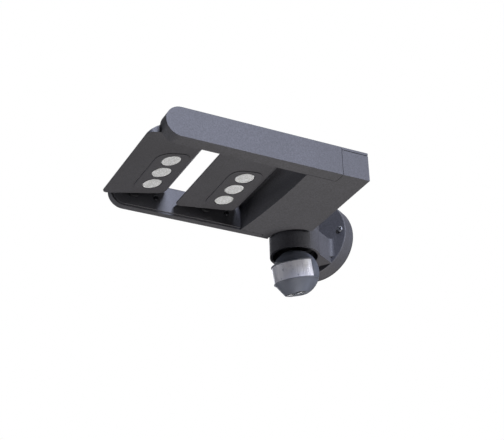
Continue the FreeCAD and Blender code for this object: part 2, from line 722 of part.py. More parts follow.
def pivot_bores():
    far = rod(PIN_R, V(HEAD_X0 - 1, 0, 0), V(HEAD_X0 + PIN_HOLD, 0, 0))
    near = rod(PIN_R, V(HEAD_X1 - 13, 0, 0), V(HEAD_X1 + 1, 0, 0))
    return far.fuse(near)


def head_cover():
    """Ribbed back cover; a pad under it presses on the LED board and carries the heat away."""
    base = SPLIT_V + SEAL_T
    shape = head_block(0, base, TALL)
    room = head_block(HEAD_WALL + FIN_DEPTH, base - 1, TALL)
    shape = shape.cut(room)
    pitch = (HEAD_X1 - HEAD_X0 - 36.0) / FIN_COUNT
    for index in range(FIN_COUNT):
        x = HEAD_X0 + 18.0 + pitch * (index + 0.25)
        outer = head_profile(x, -1.0).extrude(V(pitch * 0.55, 0, 0))
        inner = head_profile(x, FIN_DEPTH).extrude(V(pitch * 0.55, 0, 0))
        limits = box(x, x + pitch * 0.55, -24, TALL, base + 1.5, TALL)
        shape = shape.cut(outer.cut(inner).common(limits))
    inside = head_block(0.5, base, TALL)
    x0 = LENS_MIDDLE_X - BOARD_HALF
    x1 = LENS_MIDDLE_X + BOARD_HALF
    pad = box(x0, x1, BEZEL_U0 + 6, BEZEL_U1 - 6, BOARD_TOP, 12)
    shape = shape.fuse(pad.common(inside))
    shape = shape.fuse(pivot_blocks().common(inside))
    for x, u in HEAD_SCREWS:
        boss = rod(HEAD_BOSS_R, V(x, u, base), V(x, u, TALL)).common(inside)
        shape = shape.fuse(boss).cut(rod(1.5, V(x, u, base - 1), V(x, u, TALL)))
        shape = shape.cut(rod(3.0, V(x, u, head_screw_v(u)), V(x, u, TALL)))
    return shape.cut(pivot_bores()).removeSplitter()


def head_screw_v(u):
    """Seat height of a cover screw, sunk below the arched top."""
    return 9.6 if u > 0 else 6.6


def head_seal():
    outer = head_block(0.7, SPLIT_V, SPLIT_V + SEAL_T)
    inner = head_block(HEAD_WALL - 0.3, SPLIT_V - 1, SPLIT_V + 3)
    shape = outer.cut(inner)
    return shape.cut(pivot_bores())


def head_screws():
    screws = []
    for x, u in HEAD_SCREWS:
        seat = head_screw_v(u)
        screws.append(screw(2.8, 1.7, 1.15, seat - FACE_V - 2.6, V(x, u, seat), V(0, 0, -1)))
    return group(screws)


def head_bezel():
    """Raised frame round the three lenses."""
    flange = bezel_plan(FACE_V - BEZEL_PROUD, 0).extrude(V(0, 0, BEZEL_PROUD))
    rim = [e for e in flange.Edges if abs(e.BoundBox.ZMax - (FACE_V - BEZEL_PROUD)) < EPS]
    flange = flange.makeFillet(0.6, rim)
    plug = bezel_plan(FACE_V - EPS, 2.1).extrude(V(0, 0, HEAD_WALL + 0.8))
    shape = flange.fuse(plug)
    for x in lens_centres():
        shape = shape.cut(rod(LENS_R + 0.1, V(x, LENS_U, -20), V(x, LENS_U, 20)))
    return shape.removeSplitter()


def head_lens():
    """One moulding: three collimators joined by a thin web behind the bezel."""
    web_low = FACE_V + HEAD_WALL + 0.8
    web = bezel_plan(web_low, 4.0).extrude(V(0, 0, 1.4))
    shape = web
    for x in lens_centres():
        barrel = rod(LENS_R, V(x, LENS_U, FACE_V - BEZEL_PROUD + 0.3), V(x, LENS_U, web_low + EPS))
        cone = Part.makeCone(LENS_R - 1.5, 5.0, 3.8, V(x, LENS_U, web_low + 1.4 - EPS), Z_AXIS)
        shape = shape.fuse([barrel, cone])
    for x in lens_centres():
        shape = shape.cut(rod(2.6, V(x, LENS_U, BOARD_TOP - BOARD_T - 1.8), V(x, LENS_U, 20)))
    return shape.removeSplitter()


def led_board():
    top = BOARD_TOP
    x0 = LENS_MIDDLE_X - BOARD_HALF
    x1 = LENS_MIDDLE_X + BOARD_HALF
    board = box(x0, x1, BEZEL_U0 + 6, BEZEL_U1 - 6, top - BOARD_T, top)
    for x in lens_centres():
        half = 1.7
        low = top - BOARD_T - 1.0
        chip = box(x - half, x + half, LENS_U - half, LENS_U + half, low, top - BOARD_T + EPS)
        board = board.fuse(chip)
    return board.removeSplitter()


def far_pin():
    return rod(PIN_R, V(FAR_IN - 5.5, 0, 0), V(HEAD_X0 + PIN_HOLD, 0, 0))


def near_pin():
    return tube(PIN_R, 1.6, V(HEAD_X1 - 12, 0, 0), V(NEAR_IN + 10.5, 0, 0))


# ---- motion sensor: carrier and stem in the swivel-axis frame, ball parts about the ball's centre --------
def sensor_carrier():
    shape = tube(SOCKET_R - 0.05, STEM_R + 0.08, V(0, 0, LEDGE_Z - 3), V(0, 0, LEDGE_Z))
    for angle in CARRIER_ANGLES:
        shape = shape.cut(carrier_screw_hole(angle))
    return shape


def carrier_screws():
    screws = []
    for angle in CARRIER_ANGLES:
        screws.append(screw(1.8, 1.2, 1.05, 8.0, carrier_screw_place(angle, LEDGE_Z - 3), Z_AXIS))
    return group(screws)


def sensor_stem():
    shape = rod(STEM_R, V(0, 0, BALL_DROP), V(0, 0, LEDGE_Z + 2))
    flange = rod(11.0, V(0, 0, LEDGE_Z + 0.1), V(0, 0, LEDGE_Z + 2))
    foot = Part.makeSphere(STEM_R, V(0, 0, BALL_DROP))
    shape = shape.fuse([flange, foot])
    groove = tube(STEM_R + 1, STEM_R - 1, V(0, 0, LEDGE_Z - 4.6), V(0, 0, LEDGE_Z - 3.1))
    shape = shape.cut(groove)
    shape = shape.cut(rod(3.0, V(0, 0, BALL_DROP + 5), V(0, 0, 5)))
    shape = shape.cut(rod(TILT_PIN_R + 0.05, V(-10, 0, BALL_DROP), V(10, 0, BALL_DROP)))
    return shape.removeSplitter()


def stem_clip():
    ring = tube(STEM_R + 2.4, STEM_R - 0.9, V(0, 0, LEDGE_Z - 4.5), V(0, 0, LEDGE_Z - 3.2))
    return ring.cut(box(0, 12, -3.2, 3.2, LEDGE_Z - 6, LEDGE_Z))


def window_sector(radius, v0, v1, half_angle):
    """Pie-shaped block facing the front, -Y."""
    wedge = Part.makeCylinder(radius, v1 - v0, V(0, 0, v0), Z_AXIS, 2 * half_angle)
    wedge.rotate(CENTRE, Z_AXIS, -90 - half_angle)
    return wedge


def ball_shell(outer, inner):
    return Part.makeSphere(outer).cut(Part.makeSphere(inner))


def upper_shell():
    """Ball with a window opening, a rim over the window and two lugs for the tilt pin."""
    shell = ball_shell(BALL_R, BALL_R - BALL_WALL)
    above = box(-TALL, TALL, -TALL, TALL, LENS_BOTTOM + 0.1, TALL)
    shell = shell.common(above)
    shell = shell.cut(window_sector(TALL, LENS_BOTTOM, LENS_TOP, LENS_HALF_ANGLE))
    shell = shell.fuse(window_rim())
    lugs = box(9.0, 26.0, -5, 5, -4.5, 5).fuse(box(-26.0, -9.0, -5, 5, -4.5, 5))
    shell = shell.fuse(lugs.common(Part.makeSphere(BALL_R - 0.5)))
    shell = shell.cut(rod(TILT_PIN_R, V(-TILT_PIN_HALF, 0, 0), V(TILT_PIN_HALF, 0, 0)))
    return shell.cut(stem_slot()).removeSplitter()


def window_rim():
    """Rim over the window: upright edge, then a slope back onto the ball."""
    top = LENS_TOP + RIM_T
    slope = Part.makeCone(RIM_R, RIM_R - RIM_INSET, RIM_SLOPE, V(0, 0, top), Z_AXIS)
    rim = rod(RIM_R, V(0, 0, LENS_TOP), V(0, 0, top)).fuse(slope)
    rim = rim.cut(Part.makeSphere(BALL_R - BALL_WALL))
    return rim.common(window_sector(TALL, LENS_TOP, LENS_TOP + 8.0, LENS_HALF_ANGLE + 6.0))


def stem_slot():
    """Slot over the top of the ball that lets it nod about the stem."""
    half = STEM_R + 0.6
    slot = None
    for angle in range(-6, 41, 2):
        way = V(0, math.sin(math.radians(angle)), math.cos(math.radians(angle)))
        piece = rod(half, CENTRE, V(way).multiply(TALL))
        slot = piece if slot is None else slot.fuse(piece)
    return slot.cut(box(-TALL, TALL, -TALL, TALL, -TALL, 5.2))


def bowl():
    """Chin under the window: it leans in from a wide lip, set forward, to the small flat base."""
    lip = Part.Wire(Part.makeCircle(BOWL_R, V(0, BOWL_SHIFT, LENS_BOTTOM - BOWL_LIP_T)))
    base = Part.Wire(Part.makeCircle(BASE_R, V(0, BASE_SHIFT, BASE_V)))
    return Part.makeLoft([lip, base], True, True)


def lower_shell():
    """Bowl under the window: a lip that fades into the ball, and a flat base with the setting dials."""
    lip_low = LENS_BOTTOM - BOWL_LIP_T
    belly = Part.makeSphere(BALL_R).common(box(-TALL, TALL, -TALL, TALL, BASE_V, LENS_BOTTOM))
    lip = rod(BOWL_R + BOWL_LIP_PROUD, V(0, BOWL_SHIFT, lip_low), V(0, BOWL_SHIFT, LENS_BOTTOM))
    outer = bowl().fuse([belly, lip])
    floor = BASE_V + BASE_T
    hollow = Part.makeSphere(BALL_R - BALL_WALL).common(box(-TALL, TALL, -TALL, TALL, floor, TALL))
    shape = outer.cut(hollow)
    post_low = V(0, POST_Y, BASE_V + 1)
    shape = shape.fuse(rod(3.2, post_low, V(0, POST_Y, LENS_BOTTOM - 0.2)))
    for x in (-DIAL_X, DIAL_X):
        shape = shape.cut(rod(DIAL_R + 0.25, V(x, DIAL_U, BASE_V - 1), V(x, DIAL_U, BASE_V + 1.4)))
        shape = shape.cut(rod(1.6, V(x, DIAL_U, BASE_V - 1), V(x, DIAL_U, BASE_V + 6)))
    shape = shape.cut(rod(2.7, V(0, POST_Y, BASE_V - 1), V(0, POST_Y, BASE_V + 1.6)))
    shape = shape.cut(rod(1.3, V(0, POST_Y, BASE_V - 1), V(0, POST_Y, LENS_BOTTOM + 1)))
    return shape.removeSplitter()


def sensor_lens():
    """Upright round band of the fresnel window, ribbed between its zones."""
    band = tube(WINDOW_R, WINDOW_R - WINDOW_T, V(0, 0, LENS_BOTTOM + 0.1), V(0, 0, LENS_TOP - 0.1))
    band = band.common(window_sector(TALL, LENS_BOTTOM, LENS_TOP, LENS_HALF_ANGLE - 0.3))
    for index in range(9):
        groove = box(WINDOW_R - 0.35, WINDOW_R + 1, -0.35, 0.35, LENS_BOTTOM, LENS_TOP)
        groove.rotate(CENTRE, Z_AXIS, -150 + 15 * index)
        band = band.cut(groove)
    return band


def sensor_board():
    return box(-15, 15, -14.0, -12.4, -11.5, 8.5)


def pyro_sensor():
    can = rod(4.6, V(0, -14.0, -2), V(0, -18.2, -2))
    return can.cut(box(-2.2, 2.2, -19, -17.9, -3.6, -0.4))


def setting_board():
    shape = rod(13.5, V(0, -3.0, BASE_V + 8.0), V(0, -3.0, BASE_V + 9.4))
    return shape.cut(rod(3.4, V(0, POST_Y, BASE_V), V(0, POST_Y, LENS_BOTTOM)))


def dial(x):
    knob = rod(DIAL_R, V(x, DIAL_U, BASE_V - 1.0), V(x, DIAL_U, BASE_V + 1.1))
    half = DIAL_R * 0.8
    slot = box(x - half, x + half, DIAL_U - 0.5, DIAL_U + 0.5, BASE_V - 2, BASE_V - 0.1)
    shaft = rod(1.5, V(x, DIAL_U, BASE_V + 1), V(x, DIAL_U, BASE_V + 7.9))
    return knob.fuse(shaft).cut(slot).removeSplitter()


def shell_screw():
    return screw(2.4, 1.4, 1.2, 11.0, V(0, POST_Y, BASE_V + 1.6), Z_AXIS)


# ---- build -----------------------------------------------------------------------------------
def main():
    os.makedirs("parts", exist_ok=True)
    save("bracket_casting", bracket_casting())
    save("wall_plate", wall_plate())
    save("wall_gasket", tube(DISC_R, DISC_R - DISC_WALL, V(0, -GASKET_T, 0), V(0, 0, 0)))
    save("wall_cable_grommet", cable_grommet())
    save("mains_terminal_block", terminal_block())
    save("wall_disc_screws", cover_screws())

    lamp_parts = {
        "swivel_bolt": swivel_bolt(),
        "rear_housing": rear_housing(),
        "housing_lid": housing_lid(),
        "housing_lid_seal": lid_seal(),
        "housing_lid_screws": lid_screws(),
        "led_driver": led_driver(),
        "near_arm": near_arm(),
        "near_arm_cover": near_arm_cover(),
        "near_arm_cover_screws": near_cover_screws(),
        "near_arm_bolts": arm_bolts(arm_bolt_ways()[:2], 5.0),
        "far_arm": far_arm(),
        "far_arm_liner": far_arm_liner(),
        "far_arm_liner_screws": liner_screws(),
        "far_arm_bolts": arm_bolts(arm_bolt_ways()[2:], 5.0),
        "near_pivot_bushes": near_bushes(),
        "far_pivot_bushes": far_bushes(),
        "pivot_friction_discs": friction_discs(),
        "swivel_nut": swivel_nut(),
        "swivel_washer": swivel_washer(),
    }
    for name, shape in lamp_parts.items():
        save(name, on_lamp(shape))
    save("swivel_seal_ring", on_bracket(swivel_seal()))

    head_parts = {
        "housing": head_housing(),
        "back_cover": head_cover(),
        "seal": head_seal(),
        "cover_screws": head_screws(),
        "lens_bezel": head_bezel(),
        "triple_lens": head_lens(),
        "led_board": led_board(),
        "far_pivot_pin": far_pin(),
        "near_pivot_tube": near_pin(),
    }
    for side, pivot_y, tilt in (("front", FRONT_PIVOT_Y, FRONT_TILT), ("rear", REAR_PIVOT_Y, REAR_TILT)):
        for name, shape in head_parts.items():
            save(side + "_head_" + name, on_head(shape, pivot_y, tilt))

    save("sensor_carrier", on_bracket(sensor_carrier()))
    save("sensor_carrier_screws", on_bracket(carrier_screws()))
    save("sensor_stem", on_bracket(sensor_stem()))
    save("sensor_stem_clip", on_bracket(stem_clip()))
    ball_parts = {
        "sensor_tilt_pin": rod(TILT_PIN_R, V(-TILT_PIN_HALF, 0, 0), V(TILT_PIN_HALF, 0, 0)),
        "sensor_upper_shell": upper_shell(),
        "sensor_lower_shell": lower_shell(),
        "sensor_lens": sensor_lens(),
        "sensor_board": sensor_board(),
        "pyro_sensor": pyro_sensor(),
        "sensor_setting_board": setting_board(),
        "time_dial": dial(-DIAL_X),
        "light_level_dial": dial(DIAL_X),
        "sensor_shell_screw": shell_screw(),
    }
    for name, shape in ball_parts.items():
        save(name, on_ball(shape))


main()
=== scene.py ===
import json
import math

import bmesh
import bpy
from bpy.props import FloatProperty, FloatVectorProperty, IntProperty, PointerProperty
from mathutils import Matrix, Vector


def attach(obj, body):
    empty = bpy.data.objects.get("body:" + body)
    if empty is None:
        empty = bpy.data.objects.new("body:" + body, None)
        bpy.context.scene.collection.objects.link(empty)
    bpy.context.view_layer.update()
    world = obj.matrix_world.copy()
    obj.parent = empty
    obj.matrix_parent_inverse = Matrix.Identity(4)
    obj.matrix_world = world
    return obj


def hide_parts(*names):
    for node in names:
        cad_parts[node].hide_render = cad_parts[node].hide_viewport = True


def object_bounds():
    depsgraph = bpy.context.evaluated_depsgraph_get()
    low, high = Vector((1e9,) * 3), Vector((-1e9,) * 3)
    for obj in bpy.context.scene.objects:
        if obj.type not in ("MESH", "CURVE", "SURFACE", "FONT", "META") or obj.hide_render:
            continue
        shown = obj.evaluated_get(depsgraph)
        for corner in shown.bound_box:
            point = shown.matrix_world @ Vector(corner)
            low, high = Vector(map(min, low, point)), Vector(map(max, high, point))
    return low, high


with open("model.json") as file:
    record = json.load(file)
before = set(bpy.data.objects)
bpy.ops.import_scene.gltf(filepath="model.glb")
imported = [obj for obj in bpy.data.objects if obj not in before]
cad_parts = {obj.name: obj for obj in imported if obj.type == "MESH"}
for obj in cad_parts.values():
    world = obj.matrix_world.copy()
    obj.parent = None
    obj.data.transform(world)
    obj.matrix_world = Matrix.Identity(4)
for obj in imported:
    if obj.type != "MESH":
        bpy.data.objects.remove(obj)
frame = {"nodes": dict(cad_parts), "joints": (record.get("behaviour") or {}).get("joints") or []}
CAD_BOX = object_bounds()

bl_info = {
    "name": "Twin-head wall spotlight",
    "version": (1, 0, 0),
    "blender": (4, 5, 0),
    "location": "3D View > Sidebar > Spotlight",
    "description": "Finishes, optics and sensor details of a wall spotlight with two LED heads",
    "category": "Add Mesh",
}

MM = 0.001

# sockets of the Mix node when it mixes colours
COLOUR_A = 6
COLOUR_B = 7
MIXED_COLOUR = 2


# ---- colours, nodes and small mesh helpers -------------------------------------------------------

def linear(hex_colour):
    """Turns an sRGB hex colour into the linear numbers that shaders use."""
    channels = [int(hex_colour[place:place + 2], 16) / 255 for place in (0, 2, 4)]
    return tuple(c / 12.92 if c <= 0.04045 else ((c + 0.055) / 1.055) ** 2.4 for c in channels)


def rgba(hex_colour):
    return (*linear(hex_colour), 1.0)


def per_metre(millimetres):
    """Texture scale of a pattern that repeats every so many millimetres."""
    return 1.0 / (millimetres * MM)


def add(tree, kind, values=None, links=None, **settings):
    """Adds one shader node, sets its properties and sockets, and joins the sockets that are linked."""
    made = tree.nodes.new("ShaderNode" + kind)
    for name, value in settings.items():
        setattr(made, name, value)
    for socket, value in (values or {}).items():
        made.inputs[socket].default_value = value
    for socket, source in (links or {}).items():
        tree.links.new(source, made.inputs[socket])
    return made


def blank_material(name):
    material = bpy.data.materials.new(name)
    material.use_nodes = True
    material.node_tree.nodes.clear()
    return material, material.node_tree


def mesh_piece(name, bm, axes, smooth_angle=35.0):
    """Puts a bmesh, drawn in millimetres in its own axes, into the scene as one piece."""
    bmesh.ops.recalc_face_normals(bm, faces=bm.faces)
    mesh = bpy.data.meshes.new(name)
    bm.to_mesh(mesh)
    bm.free()
    mesh.transform(axes @ Matrix.Scale(MM, 4))
    for polygon in mesh.polygons:
        polygon.use_smooth = True
    mesh.set_sharp_from_angle(angle=math.radians(smooth_angle))
    piece = bpy.data.objects.new(name, mesh)
    bpy.context.scene.collection.objects.link(piece)
    return piece


def lathe(bm, profile, segments, x, y, relief=None):
    """Turns a list of (radius, height) round the point (x, y); relief(dx, dy) shifts the flat start."""
    rings = []
    for radius, height in profile:
        if radius == 0:
            shift = relief(0, 0) if relief else 0
            rings.append([bm.verts.new((x, y, height + shift))])
            continue
        ring = []
        for step in range(segments):
            angle = 2 * math.pi * step / segments
            dx = radius * math.cos(angle)
            dy = radius * math.sin(angle)
            shift = relief(dx, dy) if relief and height == profile[0][1] else 0
            ring.append(bm.verts.new((x + dx, y + dy, height + shift)))
        rings.append(ring)
    for inner, outer in zip(rings, rings[1:]):
        for step in range(segments):
            after = (step + 1) % segments
            corners = [inner[step % len(inner)], outer[step % len(outer)]]
            if len(outer) > 1:
                corners.append(outer[after])
            if len(inner) > 1:
                corners.append(inner[after])
            bm.faces.new(corners)


def prism(bm, outline, low, high):
    """Extrudes a plan outline between two heights."""
    bottom = [bm.verts.new((px, py, low)) for px, py in outline]
    top = [bm.verts.new((px, py, high)) for px, py in outline]
    bm.faces.new(bottom)
    bm.faces.new(top)
    for index in range(len(outline)):
        after = (index + 1) % len(outline)
        bm.faces.new([bottom[index], bottom[after], top[after], top[index]])


def rounded_outline(x, y, half_x, half_y, radius, steps=8):
    """Corner points of a rounded rectangle, anticlockwise."""
    points = []
    corners = ((1, 1, 0), (-1, 1, 90), (-1, -1, 180), (1, -1, 270))
    for side_x, side_y, start in corners:
        for step in range(steps + 1):
            angle = math.radians(start + 90 * step / steps)
            px = x + side_x * (half_x - radius) + radius * math.cos(angle)
            py = y + side_y * (half_y - radius) + radius * math.sin(angle)
            points.append((px, py))
    return points


# ---- places that come from the frame -------------------------------------------------------------

def joint_named(name):
    return next(joint for joint in frame["joints"] if joint["name"] == name)


def axes_at(place, x_axis, y_axis):
    z_axis = x_axis.cross(y_axis)
    turned = Matrix((x_axis, y_axis, z_axis)).transposed().to_4x4()
    return Matrix.Translation(place) @ turned


def head_axes(side, tilt):
    """Axes of a lamp head: x along its pivot, y towards its rear edge, z out of its back."""
    joint = joint_named(side + "_head_tilt")
    pivot = Vector(joint["axis"]).normalized()
    level = Vector((0, 0, 1)).cross(pivot)
    return axes_at(Vector(joint["pos_m"]), pivot, Matrix.Rotation(tilt, 3, pivot) @ level)


def ball_axes():
    """Axes of the sensor ball: the window faces -y, and z is the dials' axis."""
    z_axis = Vector(joint_named("time_dial_turn")["axis"]).normalized()
    x_axis = Vector((1, 0, 0))
    return axes_at(Vector(joint_named("sensor_tilt")["pos_m"]), x_axis, z_axis.cross(x_axis))


def local_box(node, axes):
    """Lowest and highest corner of a CAD node, in millimetres in the given axes."""
    inverse = axes.inverted()
    points = [inverse @ vertex.co / MM for vertex in frame["nodes"][node].data.vertices]
    lowest = [min(point[i] for point in points) for i in range(3)]
    highest = [max(point[i] for point in points) for i in range(3)]
    return lowest, highest


# ---- settings a user would change ----------------------------------------------------------------

class SpotlightSizes(bpy.types.PropertyGroup):
    """Sizes of the details that are made here; lengths are millimetres on the real lamp."""

    edge_radius: FloatProperty(
        name="Edge radius", description="Rounding that the powder leaves on a cast edge",
        default=0.5, min=0.05, max=2.0)
    powder_grain: FloatProperty(
        name="Powder grain", description="Spacing of the bumps in the fine-textured powder coat",
        default=0.9, min=0.2, max=3.0)
    front_tilt: FloatProperty(
        name="Front head tilt", description="How far the front head leans down at rest",
        default=math.radians(12), subtype="ANGLE")
    rear_tilt: FloatProperty(
        name="Rear head tilt", description="How far the rear head leans down at rest",
        default=math.radians(7), subtype="ANGLE")
    lens_pitch: FloatProperty(
        name="Lens pitch", description="Distance between two optics of a head", default=26.8)
    lens_radius: FloatProperty(
        name="Lens radius", description="Radius of one optic's front", default=10.9)
    lens_recess: FloatProperty(
        name="Lens recess", description="Depth of the optics behind the frame's face", default=0.3)
    honeycomb_pitch: FloatProperty(
        name="Honeycomb pitch", description="Spacing of the small lenses that soften the beam",
        default=2.2)
    honeycomb_depth: FloatProperty(
        name="Honeycomb depth", description="Height of the small lenses", default=0.16)
    window_rib_pitch: FloatProperty(
        name="Window rib pitch", description="Spacing of the fine level ribs of the sensor window",
        default=0.85)
    window_zones: IntProperty(
        name="Window zones", description="Upright lens zones of the sensor window", default=10)
    dial_flutes: IntProperty(
        name="Dial flutes", description="Grip flutes round a setting dial", default=22)


class SpotlightColours(bpy.types.PropertyGroup):
    """Main colours, linear."""

    anthracite: FloatVectorProperty(
        name="Anthracite", description="Powder coat, main tone", subtype="COLOR",
        default=linear("37373B"), min=0, max=1)
    anthracite_light: FloatVectorProperty(
        name="Anthracite, light", description="Powder coat, tips of the grain", subtype="COLOR",
        default=linear("48484E"), min=0, max=1)
    sensor_grey: FloatVectorProperty(
        name="Sensor grey", description="Moulded plastic of the sensor ball", subtype="COLOR",
        default=linear("545862"), min=0, max=1)
    window: FloatVectorProperty(
        name="Window", description="Milky plastic of the sensor window", subtype="COLOR",
        default=linear("D8D7DC"), min=0, max=1)
    optic: FloatVectorProperty(
        name="Optic", description="Frosted optics over their reflectors", subtype="COLOR",
        default=linear("F8FAFF"), min=0, max=1)


def sizes():
    return bpy.context.scene.spotlight_sizes


def colours():
    return bpy.context.scene.spotlight_colours


def colour4(value):
    return (value[0], value[1], value[2], 1.0)


def shaded(colour, share):
    """The same colour at a share of its brightness."""
    return (colour[0] * share, colour[1] * share, colour[2] * share, 1.0)


# ---- materials -----------------------------------------------------------------------------------

def powder_coated_cast_aluminium(name, dark, light, roughness, grain, depth):
    """Fine-textured polyester powder on cast aluminium: a matt skin of tiny soft bumps whose tips
    catch the light, slightly uneven in tone over a hand's width.
    Real powder texture is about 0.4 mm; it is drawn at twice that, so that it shows."""
    material, tree = blank_material(name)
    place = add(tree, "TexCoord").outputs["Object"]
    bumps = add(
        tree, "TexNoise",
        values={"Scale": per_metre(grain), "Detail": 3.0, "Roughness": 0.62},
        links={"Vector": place}).outputs["Fac"]
    specks = add(
        tree, "TexNoise",
        values={"Scale": per_metre(grain * 1.9), "Detail": 2.0, "Roughness": 0.7},
        links={"Vector": place}).outputs["Fac"]
    drift = add(
        tree, "TexNoise",
        values={"Scale": per_metre(45.0), "Detail": 2.0, "Roughness": 0.5},
        links={"Vector": place}).outputs["Fac"]
    tips = add(
        tree, "MapRange",
        values={"From Min": 0.35, "From Max": 0.68},
        links={"Value": specks}).outputs["Result"]
    grainy = add(
        tree, "Mix", data_type="RGBA",
        values={COLOUR_A: dark, COLOUR_B: light},
        links={"Factor": tips}).outputs[MIXED_COLOUR]
    uneven = add(
        tree, "MapRange",
        values={"From Min": 0.3, "From Max": 0.7, "To Max": 0.35},
        links={"Value": drift}).outputs["Result"]
    colour = add(
        tree, "Mix", data_type="RGBA",
        values={COLOUR_B: shaded(dark, 0.8)},
        links={"Factor": uneven, COLOUR_A: grainy}).outputs[MIXED_COLOUR]
    gloss = add(
        tree, "MapRange",
        values={"From Min": 0.3, "From Max": 0.7, "To Min": roughness - 0.09, "To Max": roughness + 0.09},
        links={"Value": bumps}).outputs["Result"]
    relief = add(
        tree, "Bump",
        values={"Strength": 0.5, "Distance": depth * MM},
        links={"Height": bumps}).outputs["Normal"]
    shader = add(
        tree, "BsdfPrincipled",
        values={"IOR": 1.5},
        links={"Base Color": colour, "Roughness": gloss, "Normal": relief})
    add(tree, "OutputMaterial", links={"Surface": shader.outputs["BSDF"]})
    return material


def moulded_abs(name, colour, roughness):
    """ABS moulded against a spark-eroded tool: satin, with a very fine even pitting and a faint
    cloudiness where the melt flowed."""
    material, tree = blank_material(name)
    place = add(tree, "TexCoord").outputs["Object"]
    pits = add(
        tree, "TexVoronoi", feature="SMOOTH_F1",
        values={"Scale": per_metre(0.55), "Smoothness": 0.6},
        links={"Vector": place}).outputs["Distance"]
    flow = add(
        tree, "TexNoise",
        values={"Scale": per_metre(14.0), "Detail": 3.0, "Distortion": 0.6},
        links={"Vector": place}).outputs["Fac"]
    cloudy = add(
        tree, "MapRange",
        values={"From Min": 0.3, "From Max": 0.7},
        links={"Value": flow}).outputs["Result"]
    shade = add(
        tree, "Mix", data_type="RGBA",
        values={COLOUR_A: shaded(colour, 0.82), COLOUR_B: colour},
        links={"Factor": cloudy}).outputs[MIXED_COLOUR]
    gloss = add(
        tree, "MapRange",
        values={"From Max": 0.7, "To Min": roughness + 0.07, "To Max": roughness - 0.05},
        links={"Value": pits}).outputs["Result"]
    relief = add(
        tree, "Bump",
        values={"Strength": 0.25, "Distance": 0.05 * MM},
        links={"Height": pits}).outputs["Normal"]
    shader = add(
        tree, "BsdfPrincipled",
        values={"IOR": 1.54},
        links={"Base Color": shade, "Roughness": gloss, "Normal": relief})
    add(tree, "OutputMaterial", links={"Surface": shader.outputs["BSDF"]})
    return material


def moulded_polyethylene(name, colour):
    """Milky high-density polyethylene, moulded thin: it glows softly, shows the dark sensor behind
    it as a blur, and has a waxy shine."""
    material, tree = blank_material(name)
    place = add(tree, "TexCoord").outputs["Object"]
    cloud = add(
        tree, "TexNoise",
        values={"Scale": per_metre(6.0), "Detail": 3.0, "Roughness": 0.5},
        links={"Vector": place}).outputs["Fac"]
    cloudy = add(
        tree, "MapRange",
        values={"From Min": 0.3, "From Max": 0.7},
        links={"Value": cloud}).outputs["Result"]
    cooler = (colour[0] * 0.88, colour[1] * 0.89, colour[2] * 0.93, 1.0)
    shade = add(
        tree, "Mix", data_type="RGBA",
        values={COLOUR_A: cooler, COLOUR_B: colour},
        links={"Factor": cloudy}).outputs[MIXED_COLOUR]
    gloss = add(
        tree, "MapRange",
        values={"From Min": 0.3, "From Max": 0.7, "To Min": 0.26, "To Max": 0.36},
        links={"Value": cloud}).outputs["Result"]
    shader = add(
        tree, "BsdfPrincipled",
        values={"IOR": 1.54, "Transmission Weight": 0.2},
        links={"Base Color": shade, "Roughness": gloss})
    add(tree, "OutputMaterial", links={"Surface": shader.outputs["BSDF"]})
    return material


def moulded_acrylic(name, colour):
    """Frosted acrylic optic over a bright reflector: nearly white, glassy on top, with a faint
    mottling where the small lenses break up the chip behind."""
    material, tree = blank_material(name)
    place = add(tree, "TexCoord").outputs["Object"]
    cells = add(
        tree, "TexVoronoi", feature="F1",
        values={"Scale": per_metre(2.0)},
        links={"Vector": place}).outputs["Distance"]
    mottled = add(
        tree, "MapRange",
        values={"From Min": 0.15, "From Max": 0.75},
        links={"Value": cells}).outputs["Result"]
    duller = (colour[0] * 0.62, colour[1] * 0.63, colour[2] * 0.6, 1.0)
    shade = add(
        tree, "Mix", data_type="RGBA",
        values={COLOUR_A: colour, COLOUR_B: duller},
        links={"Factor": mottled}).outputs[MIXED_COLOUR]
    gloss = add(
        tree, "MapRange",
        values={"From Max": 0.8, "To Min": 0.14, "To Max": 0.28},
        links={"Value": cells}).outputs["Result"]
    shader = add(
        tree, "BsdfPrincipled",
        values={"IOR": 1.49, "Transmission Weight": 0.18, "Coat Weight": 0.5, "Coat Roughness": 0.08},
        links={"Base Color": shade, "Roughness": gloss})
    add(tree, "OutputMaterial", links={"Surface": shader.outputs["BSDF"]})
    return material


def zinc_plated_steel(name, hex_colour, roughness):
    """Bright zinc on turned steel: a cool grey metal with fine rings left by the tool and a faint
    cloudy bloom."""
    material, tree = blank_material(name)
    place = add(tree, "TexCoord").outputs["Object"]
    bloom = add(
        tree, "TexNoise",
        values={"Scale": per_metre(1.6), "Detail": 4.0, "Roughness": 0.6},
        links={"Vector": place}).outputs["Fac"]
    lines = add(
        tree, "TexWave", wave_type="RINGS", rings_direction="Y",
        values={"Scale": per_metre(6.0), "Distortion": 1.2, "Detail": 2.0},
        links={"Vector": place}).outputs["Fac"]
    cloudy = add(
        tree, "MapRange",
        values={"From Min": 0.3, "From Max": 0.7},
        links={"Value": bloom}).outputs["Result"]
    base = rgba(hex_colour)
    darker = (base[0] * 0.72, base[1] * 0.72, base[2] * 0.75, 1.0)
    shade = add(
        tree, "Mix", data_type="RGBA",
        values={COLOUR_A: darker, COLOUR_B: base},
        links={"Factor": cloudy}).outputs[MIXED_COLOUR]
    gloss = add(
        tree, "MapRange",
        values={"From Min": 0.3, "From Max": 0.7, "To Min": roughness - 0.06, "To Max": roughness + 0.12},
        links={"Value": bloom}).outputs["Result"]
    relief = add(
        tree, "Bump",
        values={"Strength": 0.2, "Distance": 0.02 * MM},
        links={"Height": lines}).outputs["Normal"]
    shader = add(
        tree, "BsdfPrincipled",
        values={"Metallic": 1.0},
        links={"Base Color": shade, "Roughness": gloss, "Normal": relief})
    add(tree, "OutputMaterial", links={"Surface": shader.outputs["BSDF"]})
    return material


